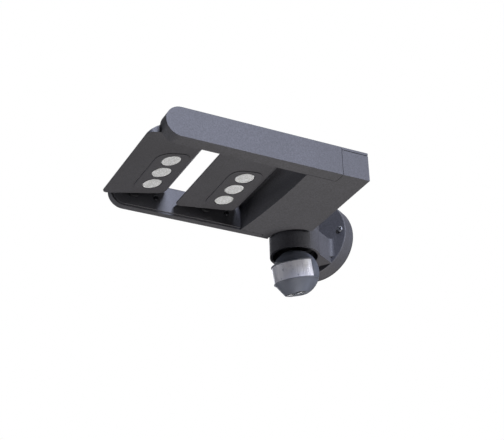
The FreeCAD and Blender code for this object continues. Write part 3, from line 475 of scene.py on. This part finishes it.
def moulded_rubber(name, hex_colour):
    """Black EPDM: dull, slightly bloomed with grey, with a soft grainy skin."""
    material, tree = blank_material(name)
    place = add(tree, "TexCoord").outputs["Object"]
    skin = add(
        tree, "TexNoise",
        values={"Scale": per_metre(0.8), "Detail": 4.0, "Roughness": 0.65},
        links={"Vector": place}).outputs["Fac"]
    bloom = add(
        tree, "TexNoise",
        values={"Scale": per_metre(9.0), "Detail": 2.0},
        links={"Vector": place}).outputs["Fac"]
    bloomed = add(
        tree, "MapRange",
        values={"From Min": 0.35, "From Max": 0.7},
        links={"Value": bloom}).outputs["Result"]
    shade = add(
        tree, "Mix", data_type="RGBA",
        values={COLOUR_A: rgba(hex_colour), COLOUR_B: rgba("2B2C2F")},
        links={"Factor": bloomed}).outputs[MIXED_COLOUR]
    gloss = add(
        tree, "MapRange",
        values={"From Min": 0.3, "From Max": 0.7, "To Min": 0.68, "To Max": 0.88},
        links={"Value": skin}).outputs["Result"]
    relief = add(
        tree, "Bump",
        values={"Strength": 0.4, "Distance": 0.06 * MM},
        links={"Height": skin}).outputs["Normal"]
    shader = add(
        tree, "BsdfPrincipled",
        values={"IOR": 1.52},
        links={"Base Color": shade, "Roughness": gloss, "Normal": relief})
    add(tree, "OutputMaterial", links={"Surface": shader.outputs["BSDF"]})
    return material


def solder_masked_board(name):
    """Glass-epoxy circuit board under green solder mask, with paler tracks showing through."""
    material, tree = blank_material(name)
    place = add(tree, "TexCoord").outputs["Object"]
    tracks = add(
        tree, "TexBrick",
        values={
            "Scale": per_metre(9.0), "Mortar Size": 0.03, "Mortar Smooth": 0.2,
            "Color1": rgba("0E4A2B"), "Color2": rgba("0A3D24"), "Mortar": rgba("3C8A55")},
        links={"Vector": place})
    weave = add(
        tree, "TexWave", wave_type="BANDS", bands_direction="DIAGONAL",
        values={"Scale": per_metre(3.0), "Distortion": 2.0},
        links={"Vector": place}).outputs["Fac"]
    gloss = add(
        tree, "MapRange",
        values={"To Min": 0.22, "To Max": 0.34},
        links={"Value": weave}).outputs["Result"]
    relief = add(
        tree, "Bump",
        values={"Strength": 0.3, "Distance": 0.03 * MM},
        links={"Height": tracks.outputs["Fac"]}).outputs["Normal"]
    shader = add(
        tree, "BsdfPrincipled",
        values={"IOR": 1.55},
        links={"Base Color": tracks.outputs["Color"], "Roughness": gloss, "Normal": relief})
    add(tree, "OutputMaterial", links={"Surface": shader.outputs["BSDF"]})
    return material


def painted_floor(name):
    """Matt studio floor paint, very slightly mottled by the roller."""
    material, tree = blank_material(name)
    place = add(tree, "TexCoord").outputs["Object"]
    roller = add(
        tree, "TexNoise",
        values={"Scale": per_metre(60.0), "Detail": 3.0},
        links={"Vector": place}).outputs["Fac"]
    mottled = add(
        tree, "MapRange",
        values={"From Min": 0.3, "From Max": 0.7},
        links={"Value": roller}).outputs["Result"]
    shade = add(
        tree, "Mix", data_type="RGBA",
        values={COLOUR_A: rgba("E9E9EA"), COLOUR_B: rgba("F1F1F1")},
        links={"Factor": mottled}).outputs[MIXED_COLOUR]
    shader = add(tree, "BsdfPrincipled", values={"Roughness": 0.8}, links={"Base Color": shade})
    add(tree, "OutputMaterial", links={"Surface": shader.outputs["BSDF"]})
    return material


# ---- CAD pieces: rounded edges and finishes ------------------------------------------------------

def paint(node, material):
    """Gives a CAD piece its finish."""
    slots = frame["nodes"][node].material_slots
    if len(slots) == 0:
        frame["nodes"][node].data.materials.append(material)
    for slot in slots:
        slot.material = material


def round_edges(node, radius, segments=2):
    """Rounds a CAD piece's sharp edges with modifiers, so that they catch the light."""
    piece = frame["nodes"][node]
    weld = piece.modifiers.new("Join faces", "WELD")
    weld.merge_threshold = 0.002 * MM
    bevel = piece.modifiers.new("Rounded edges", "BEVEL")
    bevel.width = radius * MM
    bevel.segments = segments
    bevel.limit_method = "ANGLE"
    bevel.angle_limit = math.radians(40)
    bevel.use_clamp_overlap = True
    normals = piece.modifiers.new("Even shading", "WEIGHTED_NORMAL")
    normals.keep_sharp = True
    normals.weight = 60


def by_head(*names):
    """The same pieces of both lamp heads."""
    return [side + "_head_" + name for side in ("front", "rear") for name in names]


class SPOTLIGHT_OT_castings(bpy.types.Operator):
    """Powder-coat the bracket, the rear housing, the arms and the heads"""

    bl_idname = "spotlight.castings"
    bl_label = "Powder-coated castings"

    def execute(self, context):
        dark = colour4(colours().anthracite)
        light = colour4(colours().anthracite_light)
        grain = sizes().powder_grain
        coat = powder_coated_cast_aluminium("Powder-coated cast aluminium", dark, light, 0.64, grain, 0.12)
        head_coat = powder_coated_cast_aluminium(
            "Powder-coated pressed aluminium", shaded(dark, 0.9), light, 0.58, grain * 0.8, 0.1)
        large = ["bracket_casting", "rear_housing", "housing_lid", "near_arm", "far_arm"]
        for node in large:
            paint(node, coat)
            round_edges(node, sizes().edge_radius)
        for node in by_head("housing", "back_cover", "lens_bezel"):
            paint(node, head_coat)
            round_edges(node, sizes().edge_radius * 0.6)
        return {"FINISHED"}


class SPOTLIGHT_OT_sheet_parts(bpy.types.Operator):
    """Coat the thin plates: the far arm's liner, the cable channel cover and the wall plate"""

    bl_idname = "spotlight.sheet_parts"
    bl_label = "Coated sheet parts"

    def execute(self, context):
        dark = colour4(colours().anthracite)
        light = colour4(colours().anthracite_light)
        coat = powder_coated_cast_aluminium(
            "Smooth powder-coated sheet steel", dark, light, 0.4, sizes().powder_grain * 0.7, 0.06)
        for node in ("far_arm_liner", "near_arm_cover"):
            paint(node, coat)
            round_edges(node, sizes().edge_radius * 0.4)
        plate = zinc_plated_steel("Zinc-plated pressed steel", "B9BBBE", 0.34)
        paint("wall_plate", plate)
        round_edges("wall_plate", sizes().edge_radius * 0.4)
        return {"FINISHED"}


class SPOTLIGHT_OT_fasteners(bpy.types.Operator):
    """Give the screws, bolts, pins and bushes their metal and plastic"""

    bl_idname = "spotlight.fasteners"
    bl_label = "Fasteners and bearings"

    def execute(self, context):
        steel = zinc_plated_steel("Zinc-plated turned steel", "C6C8CB", 0.27)
        # dark steel that stands in for the shade in the far arm's bay: painted shade on the liner screws
        bay_shade_steel = zinc_plated_steel("Steel darkened as painted shade", "3A3B3E", 0.42)
        screws = ["wall_disc_screws", "housing_lid_screws", "near_arm_cover_screws", "near_arm_bolts"]
        screws += ["far_arm_bolts", "sensor_carrier_screws", "sensor_shell_screw"]
        screws += ["swivel_bolt", "swivel_nut", "swivel_washer", "sensor_tilt_pin", "pyro_sensor"]
        screws += by_head("cover_screws", "far_pivot_pin", "near_pivot_tube")
        for node in screws:
            paint(node, steel)
        paint("wall_disc_screws", zinc_plated_steel("Dull zinc-flake screw steel", "85878C", 0.5))
        # the far arm liner screws are painted dark as painted shade of the bay they sit in
        paint("far_arm_liner_screws", bay_shade_steel)
        nylon = moulded_abs("Moulded black nylon", rgba("191A1D"), 0.45)
        for node in ("near_pivot_bushes", "far_pivot_bushes", "pivot_friction_discs"):
            paint(node, nylon)
        for node in ("sensor_carrier", "sensor_stem", "sensor_stem_clip"):
            paint(node, nylon)
        return {"FINISHED"}


class SPOTLIGHT_OT_inside_parts(bpy.types.Operator):
    """Give the seals, the boards, the driver and the terminal block their finishes"""

    bl_idname = "spotlight.inside_parts"
    bl_label = "Seals and electrical parts"

    def execute(self, context):
        rubber = moulded_rubber("Moulded EPDM rubber", "141416")
        seals = ["wall_gasket", "wall_cable_grommet", "swivel_seal_ring", "housing_lid_seal"]
        for node in seals + by_head("seal"):
            paint(node, rubber)
        board = solder_masked_board("Solder-masked glass-epoxy board")
        for node in ["sensor_board", "sensor_setting_board"] + by_head("led_board"):
            paint(node, board)
        white = moulded_abs("Moulded white polycarbonate", rgba("DCDCD8"), 0.38)
        for node in ("led_driver", "mains_terminal_block"):
            paint(node, white)
            round_edges(node, sizes().edge_radius * 0.6)
        return {"FINISHED"}


# ---- optics --------------------------------------------------------------------------------------

def honeycomb(pitch, depth):
    """Soft hexagonal swelling of the given pitch and depth."""
    wave = 4 * math.pi / (math.sqrt(3) * pitch)
    ways = [(math.cos(math.radians(turn)), math.sin(math.radians(turn))) for turn in (0, 60, 120)]

    def relief(dx, dy):
        total = sum(math.cos(wave * (dx * wx + dy * wy)) for wx, wy in ways)
        return -depth * (total + 1.5) / 4.5

    return relief


OPTIC_RINGS = 34
OPTIC_SEGMENTS = 132
OPTIC_CHAMFER = 0.45
WEB_BEHIND = 3.8          # face of an optic to the web that joins the three
WEB_THICKNESS = 1.4
WEB_CORNER = 9.0
CONE_END_RADIUS = 5.0
CHIP_POCKET = (2.6, 0.7)  # radius and depth


def optic_profile(radius, face, web, back):
    """Flat front in many rings, a small chamfer, the barrel, and the cone down to the chip."""
    rim = radius - OPTIC_CHAMFER
    pocket_radius, pocket_depth = CHIP_POCKET
    profile = [(rim * step / OPTIC_RINGS, face) for step in range(OPTIC_RINGS + 1)]
    profile += [(radius, face + OPTIC_CHAMFER), (radius, web)]
    profile += [(radius - WEB_THICKNESS, web + WEB_THICKNESS), (CONE_END_RADIUS, back)]
    profile += [(pocket_radius, back), (pocket_radius, back - pocket_depth), (0, back - pocket_depth)]
    return profile


def optic_group(side, tilt):
    """Three collimators of one head, joined by a thin web behind the frame."""
    axes = head_axes(side, tilt)
    low, high = local_box(side + "_head_lens_bezel", axes)
    lens_low, lens_high = local_box(side + "_head_triple_lens", axes)
    middle_x = (low[0] + high[0]) / 2
    middle_y = (low[1] + high[1]) / 2
    face = low[2] + sizes().lens_recess
    web = face + WEB_BEHIND
    bm = bmesh.new()
    relief = honeycomb(sizes().honeycomb_pitch, sizes().honeycomb_depth)
    profile = optic_profile(sizes().lens_radius, face, web + WEB_THICKNESS, lens_high[2])
    for place in (-1, 0, 1):
        lathe(bm, profile, OPTIC_SEGMENTS, middle_x + place * sizes().lens_pitch, middle_y, relief)
    half_x = (lens_high[0] - lens_low[0]) / 2
    half_y = (lens_high[1] - lens_low[1]) / 2
    outline = rounded_outline(middle_x, middle_y, half_x, half_y, WEB_CORNER)
    prism(bm, outline, web, web + WEB_THICKNESS)
    return mesh_piece(side + "_head_optics", bm, axes, 50)


class SPOTLIGHT_OT_optics(bpy.types.Operator):
    """Mould the three honeycombed optics of each head"""

    bl_idname = "spotlight.optics"
    bl_label = "LED optics"

    def execute(self, context):
        acrylic = moulded_acrylic("Frosted moulded acrylic", colour4(colours().optic))
        for side, tilt in (("front", sizes().front_tilt), ("rear", sizes().rear_tilt)):
            optics = optic_group(side, tilt)
            optics.data.materials.append(acrylic)
            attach(optics, side + "_head")
            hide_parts(side + "_head_triple_lens")
        return {"FINISHED"}


# ---- motion sensor -------------------------------------------------------------------------------

WINDOW_HALF_ANGLE = math.radians(74.6)
WINDOW_THICKNESS = 1.28
WINDOW_CLEARANCE = 0.02      # keeps the window inside the CAD band
WINDOW_ROWS = 104
WINDOW_COLUMNS = 180
RIB_DEPTH = 0.11
ZONE_GROOVE = (0.2, 0.45)    # depth and half width of the upright grooves
TIER_GROOVE = (0.12, 0.3)    # depth and half width of the two level grooves
TIER_HEIGHTS = (3.6, -4.2)


def groove(distance, depth, half_width):
    return depth * math.exp(-(distance / half_width) ** 2)


def window_radius(outer, angle, height):
    """Outer radius of the window at a place: an upright round band, ribbed and grooved between zones."""
    rib = (height / sizes().window_rib_pitch) % 1.0
    zone = 2 * WINDOW_HALF_ANGLE / sizes().window_zones
    offset = (angle + WINDOW_HALF_ANGLE) / zone
    distance = abs(offset - round(offset)) * zone * outer
    radius = outer - RIB_DEPTH * rib - groove(distance, *ZONE_GROOVE)
    for tier in TIER_HEIGHTS:
        radius -= groove(height - tier, *TIER_GROOVE)
    return radius


def window_skin(bm, outer, low, high, ribbed):
    """One side of the window as rows of points; the inside is plain."""
    grid = []
    for row in range(WINDOW_ROWS + 1):
        height = low + (high - low) * row / WINDOW_ROWS
        line = []
        for column in range(WINDOW_COLUMNS + 1):
            angle = WINDOW_HALF_ANGLE * (2 * column / WINDOW_COLUMNS - 1)
            radius = window_radius(outer, angle, height) if ribbed else outer - WINDOW_THICKNESS
            line.append(bm.verts.new((radius * math.sin(angle), -radius * math.cos(angle), height)))
        grid.append(line)
    return grid


def window_mesh(axes):
    """Curved ribbed band, closed all round."""
    low, high = local_box("sensor_lens", axes)
    outer = -low[1] - WINDOW_CLEARANCE
    bm = bmesh.new()
    front = window_skin(bm, outer, low[2], high[2], True)
    back = window_skin(bm, outer, low[2], high[2], False)
    for row in range(WINDOW_ROWS):
        for column in range(WINDOW_COLUMNS):
            for grid in (front, back):
                bm.faces.new([
                    grid[row][column], grid[row][column + 1],
                    grid[row + 1][column + 1], grid[row + 1][column]])
    for column in range(WINDOW_COLUMNS):
        for row in (0, WINDOW_ROWS):
            bm.faces.new([
                front[row][column], front[row][column + 1],
                back[row][column + 1], back[row][column]])
    for row in range(WINDOW_ROWS):
        for column in (0, WINDOW_COLUMNS):
            bm.faces.new([
                front[row][column], front[row + 1][column],
                back[row + 1][column], back[row][column]])
    return mesh_piece("sensor_window", bm, axes, 60)


class SPOTLIGHT_OT_sensor(bpy.types.Operator):
    """Finish the sensor's shells and mould its ribbed window"""

    bl_idname = "spotlight.sensor"
    bl_label = "Sensor ball and window"

    def execute(self, context):
        shell = moulded_abs("Moulded ABS", colour4(colours().sensor_grey), 0.5)
        for node in ("sensor_upper_shell", "sensor_lower_shell"):
            paint(node, shell)
            round_edges(node, sizes().edge_radius * 0.6)
        window = window_mesh(ball_axes())
        milky = moulded_polyethylene("Moulded milky polyethylene", colour4(colours().window))
        window.data.materials.append(milky)
        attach(window, "sensor_ball")
        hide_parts("sensor_lens")
        return {"FINISHED"}


# ---- setting dials -------------------------------------------------------------------------------

FLUTE_DEPTH = 0.22
FLUTE_STEPS = 6
KNOB_CHAMFER = 0.45
KNOB_THICKNESS = 2.1
ARROW_WIDTH = 1.0
ARROW_DEPTH = 0.9
SHAFT_RADIUS = 1.5
SHAFT_CHAMFER = 0.3
TICK_START = 0.5          # gap between a dial and its ticks
TICK_HALF_WIDTH = 0.17
TICK_PROUD = 0.1
TICK_ROOT = 0.3
LONG_TICK = 0.8
SHORT_TICK = 0.5
TICKS = 11
DIAL_TURN = 135           # degrees either way


def fluted_knob(bm, x, y, low, high, radius):
    """Grip knob with flutes, a chamfered outer edge and a closed back."""
    flutes = sizes().dial_flutes
    steps = flutes * FLUTE_STEPS
    levels = [(KNOB_CHAMFER, low), (0.0, low + KNOB_CHAMFER), (0.0, high)]
    rings = []
    for inset, height in levels:
        ring = []
        for step in range(steps):
            angle = 2 * math.pi * step / steps
            flute = FLUTE_DEPTH * (0.5 + 0.5 * math.cos(angle * flutes)) ** 2
            reach = radius - inset - flute
            ring.append(bm.verts.new((x + reach * math.cos(angle), y + reach * math.sin(angle), height)))
        rings.append(ring)
    bm.faces.new(rings[0])
    bm.faces.new(rings[-1])
    for lower, upper in zip(rings, rings[1:]):
        for step in range(steps):
            after = (step + 1) % steps
            bm.faces.new([lower[step], lower[after], upper[after], upper[step]])


def arrow_outline(x, y, length, width):
    """Arrow that shows the dial's setting and takes a screwdriver."""
    half = length / 2
    neck = half * 0.35
    wing = width * 1.5
    return [
        (x - half, y - width / 2), (x + neck, y - width / 2), (x + neck, y - wing),
        (x + half, y), (x + neck, y + wing), (x + neck, y + width / 2), (x - half, y + width / 2)]


def cut_with(piece, bm, axes):
    """Cuts the bmesh's solid out of a piece."""
    cutter = mesh_piece("cutter", bm, axes)
    cut = piece.modifiers.new("Cut", "BOOLEAN")
    cut.operation = "DIFFERENCE"
    cut.solver = "EXACT"
    cut.object = cutter
    bpy.context.view_layer.objects.active = piece
    bpy.ops.object.modifier_apply(modifier=cut.name)
    bpy.data.objects.remove(cutter)


def setting_dial(node, name, axes):
    """Knob with its arrow cut in, and the shaft behind it."""
    low, high = local_box(node, axes)
    x = (low[0] + high[0]) / 2
    y = (low[1] + high[1]) / 2
    radius = (high[0] - low[0]) / 2
    knob_back = low[2] + KNOB_THICKNESS
    bm = bmesh.new()
    fluted_knob(bm, x, y, low[2], knob_back, radius)
    piece = mesh_piece(name, bm, axes)
    arrow = bmesh.new()
    prism(arrow, arrow_outline(x, y, radius * 1.5, ARROW_WIDTH), low[2] - 1.0, low[2] + ARROW_DEPTH)
    cut_with(piece, arrow, axes)
    shaft = bmesh.new()
    foot = knob_back - 0.05
    profile = [(0, foot), (SHAFT_RADIUS, foot), (SHAFT_RADIUS, high[2] - SHAFT_CHAMFER)]
    profile += [(SHAFT_RADIUS - SHAFT_CHAMFER, high[2]), (0, high[2])]
    lathe(shaft, profile, 32, x, y)
    rod = mesh_piece(name + "_shaft", shaft, axes)
    return piece, rod


class SPOTLIGHT_OT_dials(bpy.types.Operator):
    """Make the two setting dials and the raised marks round them"""

    bl_idname = "spotlight.dials"
    bl_label = "Setting dials"

    def execute(self, context):
        axes = ball_axes()
        grip = moulded_abs("Moulded dark acetal", rgba("35373D"), 0.3)
        for node in ("time_dial", "light_level_dial"):
            knob, rod = setting_dial(node, node + "_knob", axes)
            for piece in (knob, rod):
                piece.data.materials.append(grip)
                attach(piece, node)
            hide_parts(node)
        marks = self.scale_marks(axes)
        marks.data.materials.append(moulded_abs("Raised ABS marks", rgba("6A6E78"), 0.4))
        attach(marks, "sensor_ball")
        return {"FINISHED"}

    def scale_marks(self, axes):
        """Eleven ticks round each dial; every fifth is longer."""
        base = local_box("sensor_lower_shell", axes)[0][2]
        bm = bmesh.new()
        for node in ("time_dial", "light_level_dial"):
            low, high = local_box(node, axes)
            x = (low[0] + high[0]) / 2
            y = (low[1] + high[1]) / 2
            start = (high[0] - low[0]) / 2 + TICK_START
            for tick in range(TICKS):
                turn = math.radians(90 + DIAL_TURN * (2 * tick / (TICKS - 1) - 1))
                length = LONG_TICK if tick % 5 == 0 else SHORT_TICK
                self.tick(bm, x, y, turn, start, length, base)
        return mesh_piece("sensor_dial_marks", bm, axes)

    def tick(self, bm, x, y, turn, start, length, base):
        out = Vector((math.cos(turn), math.sin(turn)))
        across = Vector((-out.y, out.x)) * TICK_HALF_WIDTH
        near = Vector((x, y)) + out * start
        far = near + out * length
        corners = [near - across, far - across, far + across, near + across]
        prism(bm, [(c.x, c.y) for c in corners], base - TICK_ROOT, base + TICK_PROUD)


# ---- stage ---------------------------------------------------------------------------------------

# name, place in metres, width and height in metres, watts, colour
STUDIO_LIGHTS = (
    ("Key light", (1.38, -1.02, 0.66), (0.4, 0.4), 57.0, "DFE5FB"),
    ("Side strip", (1.75, 0.25, -0.05), (0.9, 0.3), 19.0, "FFFFFF"),
    ("Under light", (0.1, 0.06, -1.0), (0.4, 0.4), 9.9, "FFFBF6"),
    ("Left fill", (-1.3, -0.9, -0.35), (0.8, 0.8), 8.0, "F8F9FF"),
    ("Back light", (-1.2, 1.4, 0.9), (1.4, 1.4), 22.0, "F6F8FF"),
)


OVERHEAD_STRENGTH = 2.7
WORLD_STRENGTH = 0.06
FLOOR_BELOW = 1.05            # metres under the wall disc's middle
CAMERA_AZIMUTH = 30.735
CAMERA_ELEVATION = -28.05
CAMERA_ROLL = -1.582
CAMERA_LENS = 84.36
CAMERA_SHIFT = (0.0033, -0.0194, 1.3204)    # right, up and back from the middle of the lamp


def soft_light(name, place, target, size, power, colour):
    light = bpy.data.lights.new(name, "AREA")
    light.shape = "RECTANGLE"
    light.size, light.size_y = size
    light.energy = power
    light.color = colour
    lamp = bpy.data.objects.new(name, light)
    lamp.location = place
    lamp.rotation_euler = (Vector(target) - Vector(place)).to_track_quat("-Z", "Y").to_euler()
    lamp.visible_camera = False
    bpy.context.scene.collection.objects.link(lamp)


def overhead_light(strength):
    """Even light from straight above for the floor and the lamp's top."""
    light = bpy.data.lights.new("Overhead light", "SUN")
    light.energy = strength
    light.angle = math.radians(60)
    bpy.context.scene.collection.objects.link(bpy.data.objects.new("Overhead light", light))


def studio_world(strength):
    """Pure white to the eye, dimmer as a source of light."""
    world = bpy.data.worlds.new("Studio white")
    world.use_nodes = True
    tree = world.node_tree
    tree.nodes.clear()
    seen = add(tree, "LightPath").outputs["Is Camera Ray"]
    dim = add(tree, "Background", values={"Color": rgba("F4F6FF"), "Strength": strength})
    white = add(tree, "Background", values={"Color": (1.0, 1.0, 1.0, 1.0), "Strength": 1.0})
    both = add(tree, "MixShader", links={"Fac": seen, 1: dim.outputs[0], 2: white.outputs[0]})
    add(tree, "OutputWorld", links={"Surface": both.outputs[0]})
    bpy.context.scene.world = world


def studio_camera(middle):
    """Looks up at the lamp from below and from the right of its front."""
    azimuth = math.radians(CAMERA_AZIMUTH)
    elevation = math.radians(CAMERA_ELEVATION)
    roll = math.radians(CAMERA_ROLL)
    back = Vector((
        math.sin(azimuth) * math.cos(elevation),
        -math.cos(azimuth) * math.cos(elevation),
        math.sin(elevation)))
    side = Vector((0, 0, 1)).cross(back).normalized()
    up = back.cross(side)
    right = side * math.cos(roll) + up * math.sin(roll)
    top = up * math.cos(roll) - side * math.sin(roll)
    data = bpy.data.cameras.new("Camera")
    data.sensor_width = 36.0
    data.lens = CAMERA_LENS
    data.clip_start = 0.05
    camera = bpy.data.objects.new("Camera", data)
    turned = Matrix((right, top, back)).transposed()
    place = middle + turned @ Vector(CAMERA_SHIFT)
    camera.matrix_world = Matrix.Translation(place) @ turned.to_4x4()
    bpy.context.scene.collection.objects.link(camera)
    bpy.context.scene.camera = camera


class SPOTLIGHT_OT_stage(bpy.types.Operator):
    """Lay a pale floor, hang soft lights and place the camera"""

    bl_idname = "spotlight.stage"
    bl_label = "Studio"

    def execute(self, context):
        middle = (CAD_BOX[0] + CAD_BOX[1]) / 2
        studio_camera(middle)
        bm = bmesh.new()
        prism(bm, rounded_outline(0, 0, 3000, 3000, 400, 12), -10.0, 0.0)
        floor = mesh_piece("studio_floor", bm, Matrix.Translation((0, 0, -FLOOR_BELOW)))
        floor.data.materials.append(painted_floor("Roller-painted floor"))
        floor.visible_diffuse = False    # its bounce would wash out the dark undersides
        floor.visible_glossy = False
        studio_world(WORLD_STRENGTH)
        for name, place, size, power, colour in STUDIO_LIGHTS:
            soft_light(name, place, tuple(middle), size, power, linear(colour))
        overhead_light(OVERHEAD_STRENGTH)
        context.scene.view_settings.view_transform = "Standard"
        return {"FINISHED"}


# ---- add-on --------------------------------------------------------------------------------------

OPERATORS = (
    SPOTLIGHT_OT_stage,
    SPOTLIGHT_OT_castings,
    SPOTLIGHT_OT_sheet_parts,
    SPOTLIGHT_OT_fasteners,
    SPOTLIGHT_OT_inside_parts,
    SPOTLIGHT_OT_optics,
    SPOTLIGHT_OT_sensor,
    SPOTLIGHT_OT_dials,
)


class SPOTLIGHT_PT_panel(bpy.types.Panel):
    """Lists the pieces of the spotlight and their settings"""

    bl_idname = "SPOTLIGHT_PT_panel"
    bl_label = "Wall spotlight"
    bl_space_type = "VIEW_3D"
    bl_region_type = "UI"
    bl_category = "Spotlight"

    def draw(self, context):
        layout = self.layout
        for group in (context.scene.spotlight_sizes, context.scene.spotlight_colours):
            column = layout.column()
            for name in group.bl_rna.properties.keys():
                if name not in ("rna_type", "name"):
                    column.prop(group, name)
        for operator in OPERATORS:
            layout.operator(operator.bl_idname)


CLASSES = (SpotlightSizes, SpotlightColours, *OPERATORS, SPOTLIGHT_PT_panel)


def register():
    for item in CLASSES:
        bpy.utils.register_class(item)
    bpy.types.Scene.spotlight_sizes = PointerProperty(type=SpotlightSizes)
    bpy.types.Scene.spotlight_colours = PointerProperty(type=SpotlightColours)


def unregister():
    del bpy.types.Scene.spotlight_colours
    del bpy.types.Scene.spotlight_sizes
    for item in reversed(CLASSES):
        bpy.utils.unregister_class(item)


def main():
    register()
    bpy.ops.spotlight.stage()
    bpy.ops.spotlight.castings()
    bpy.ops.spotlight.sheet_parts()
    bpy.ops.spotlight.fasteners()
    bpy.ops.spotlight.inside_parts()
    bpy.ops.spotlight.optics()
    bpy.ops.spotlight.sensor()
    bpy.ops.spotlight.dials()


if __name__ == "__main__":
    main()
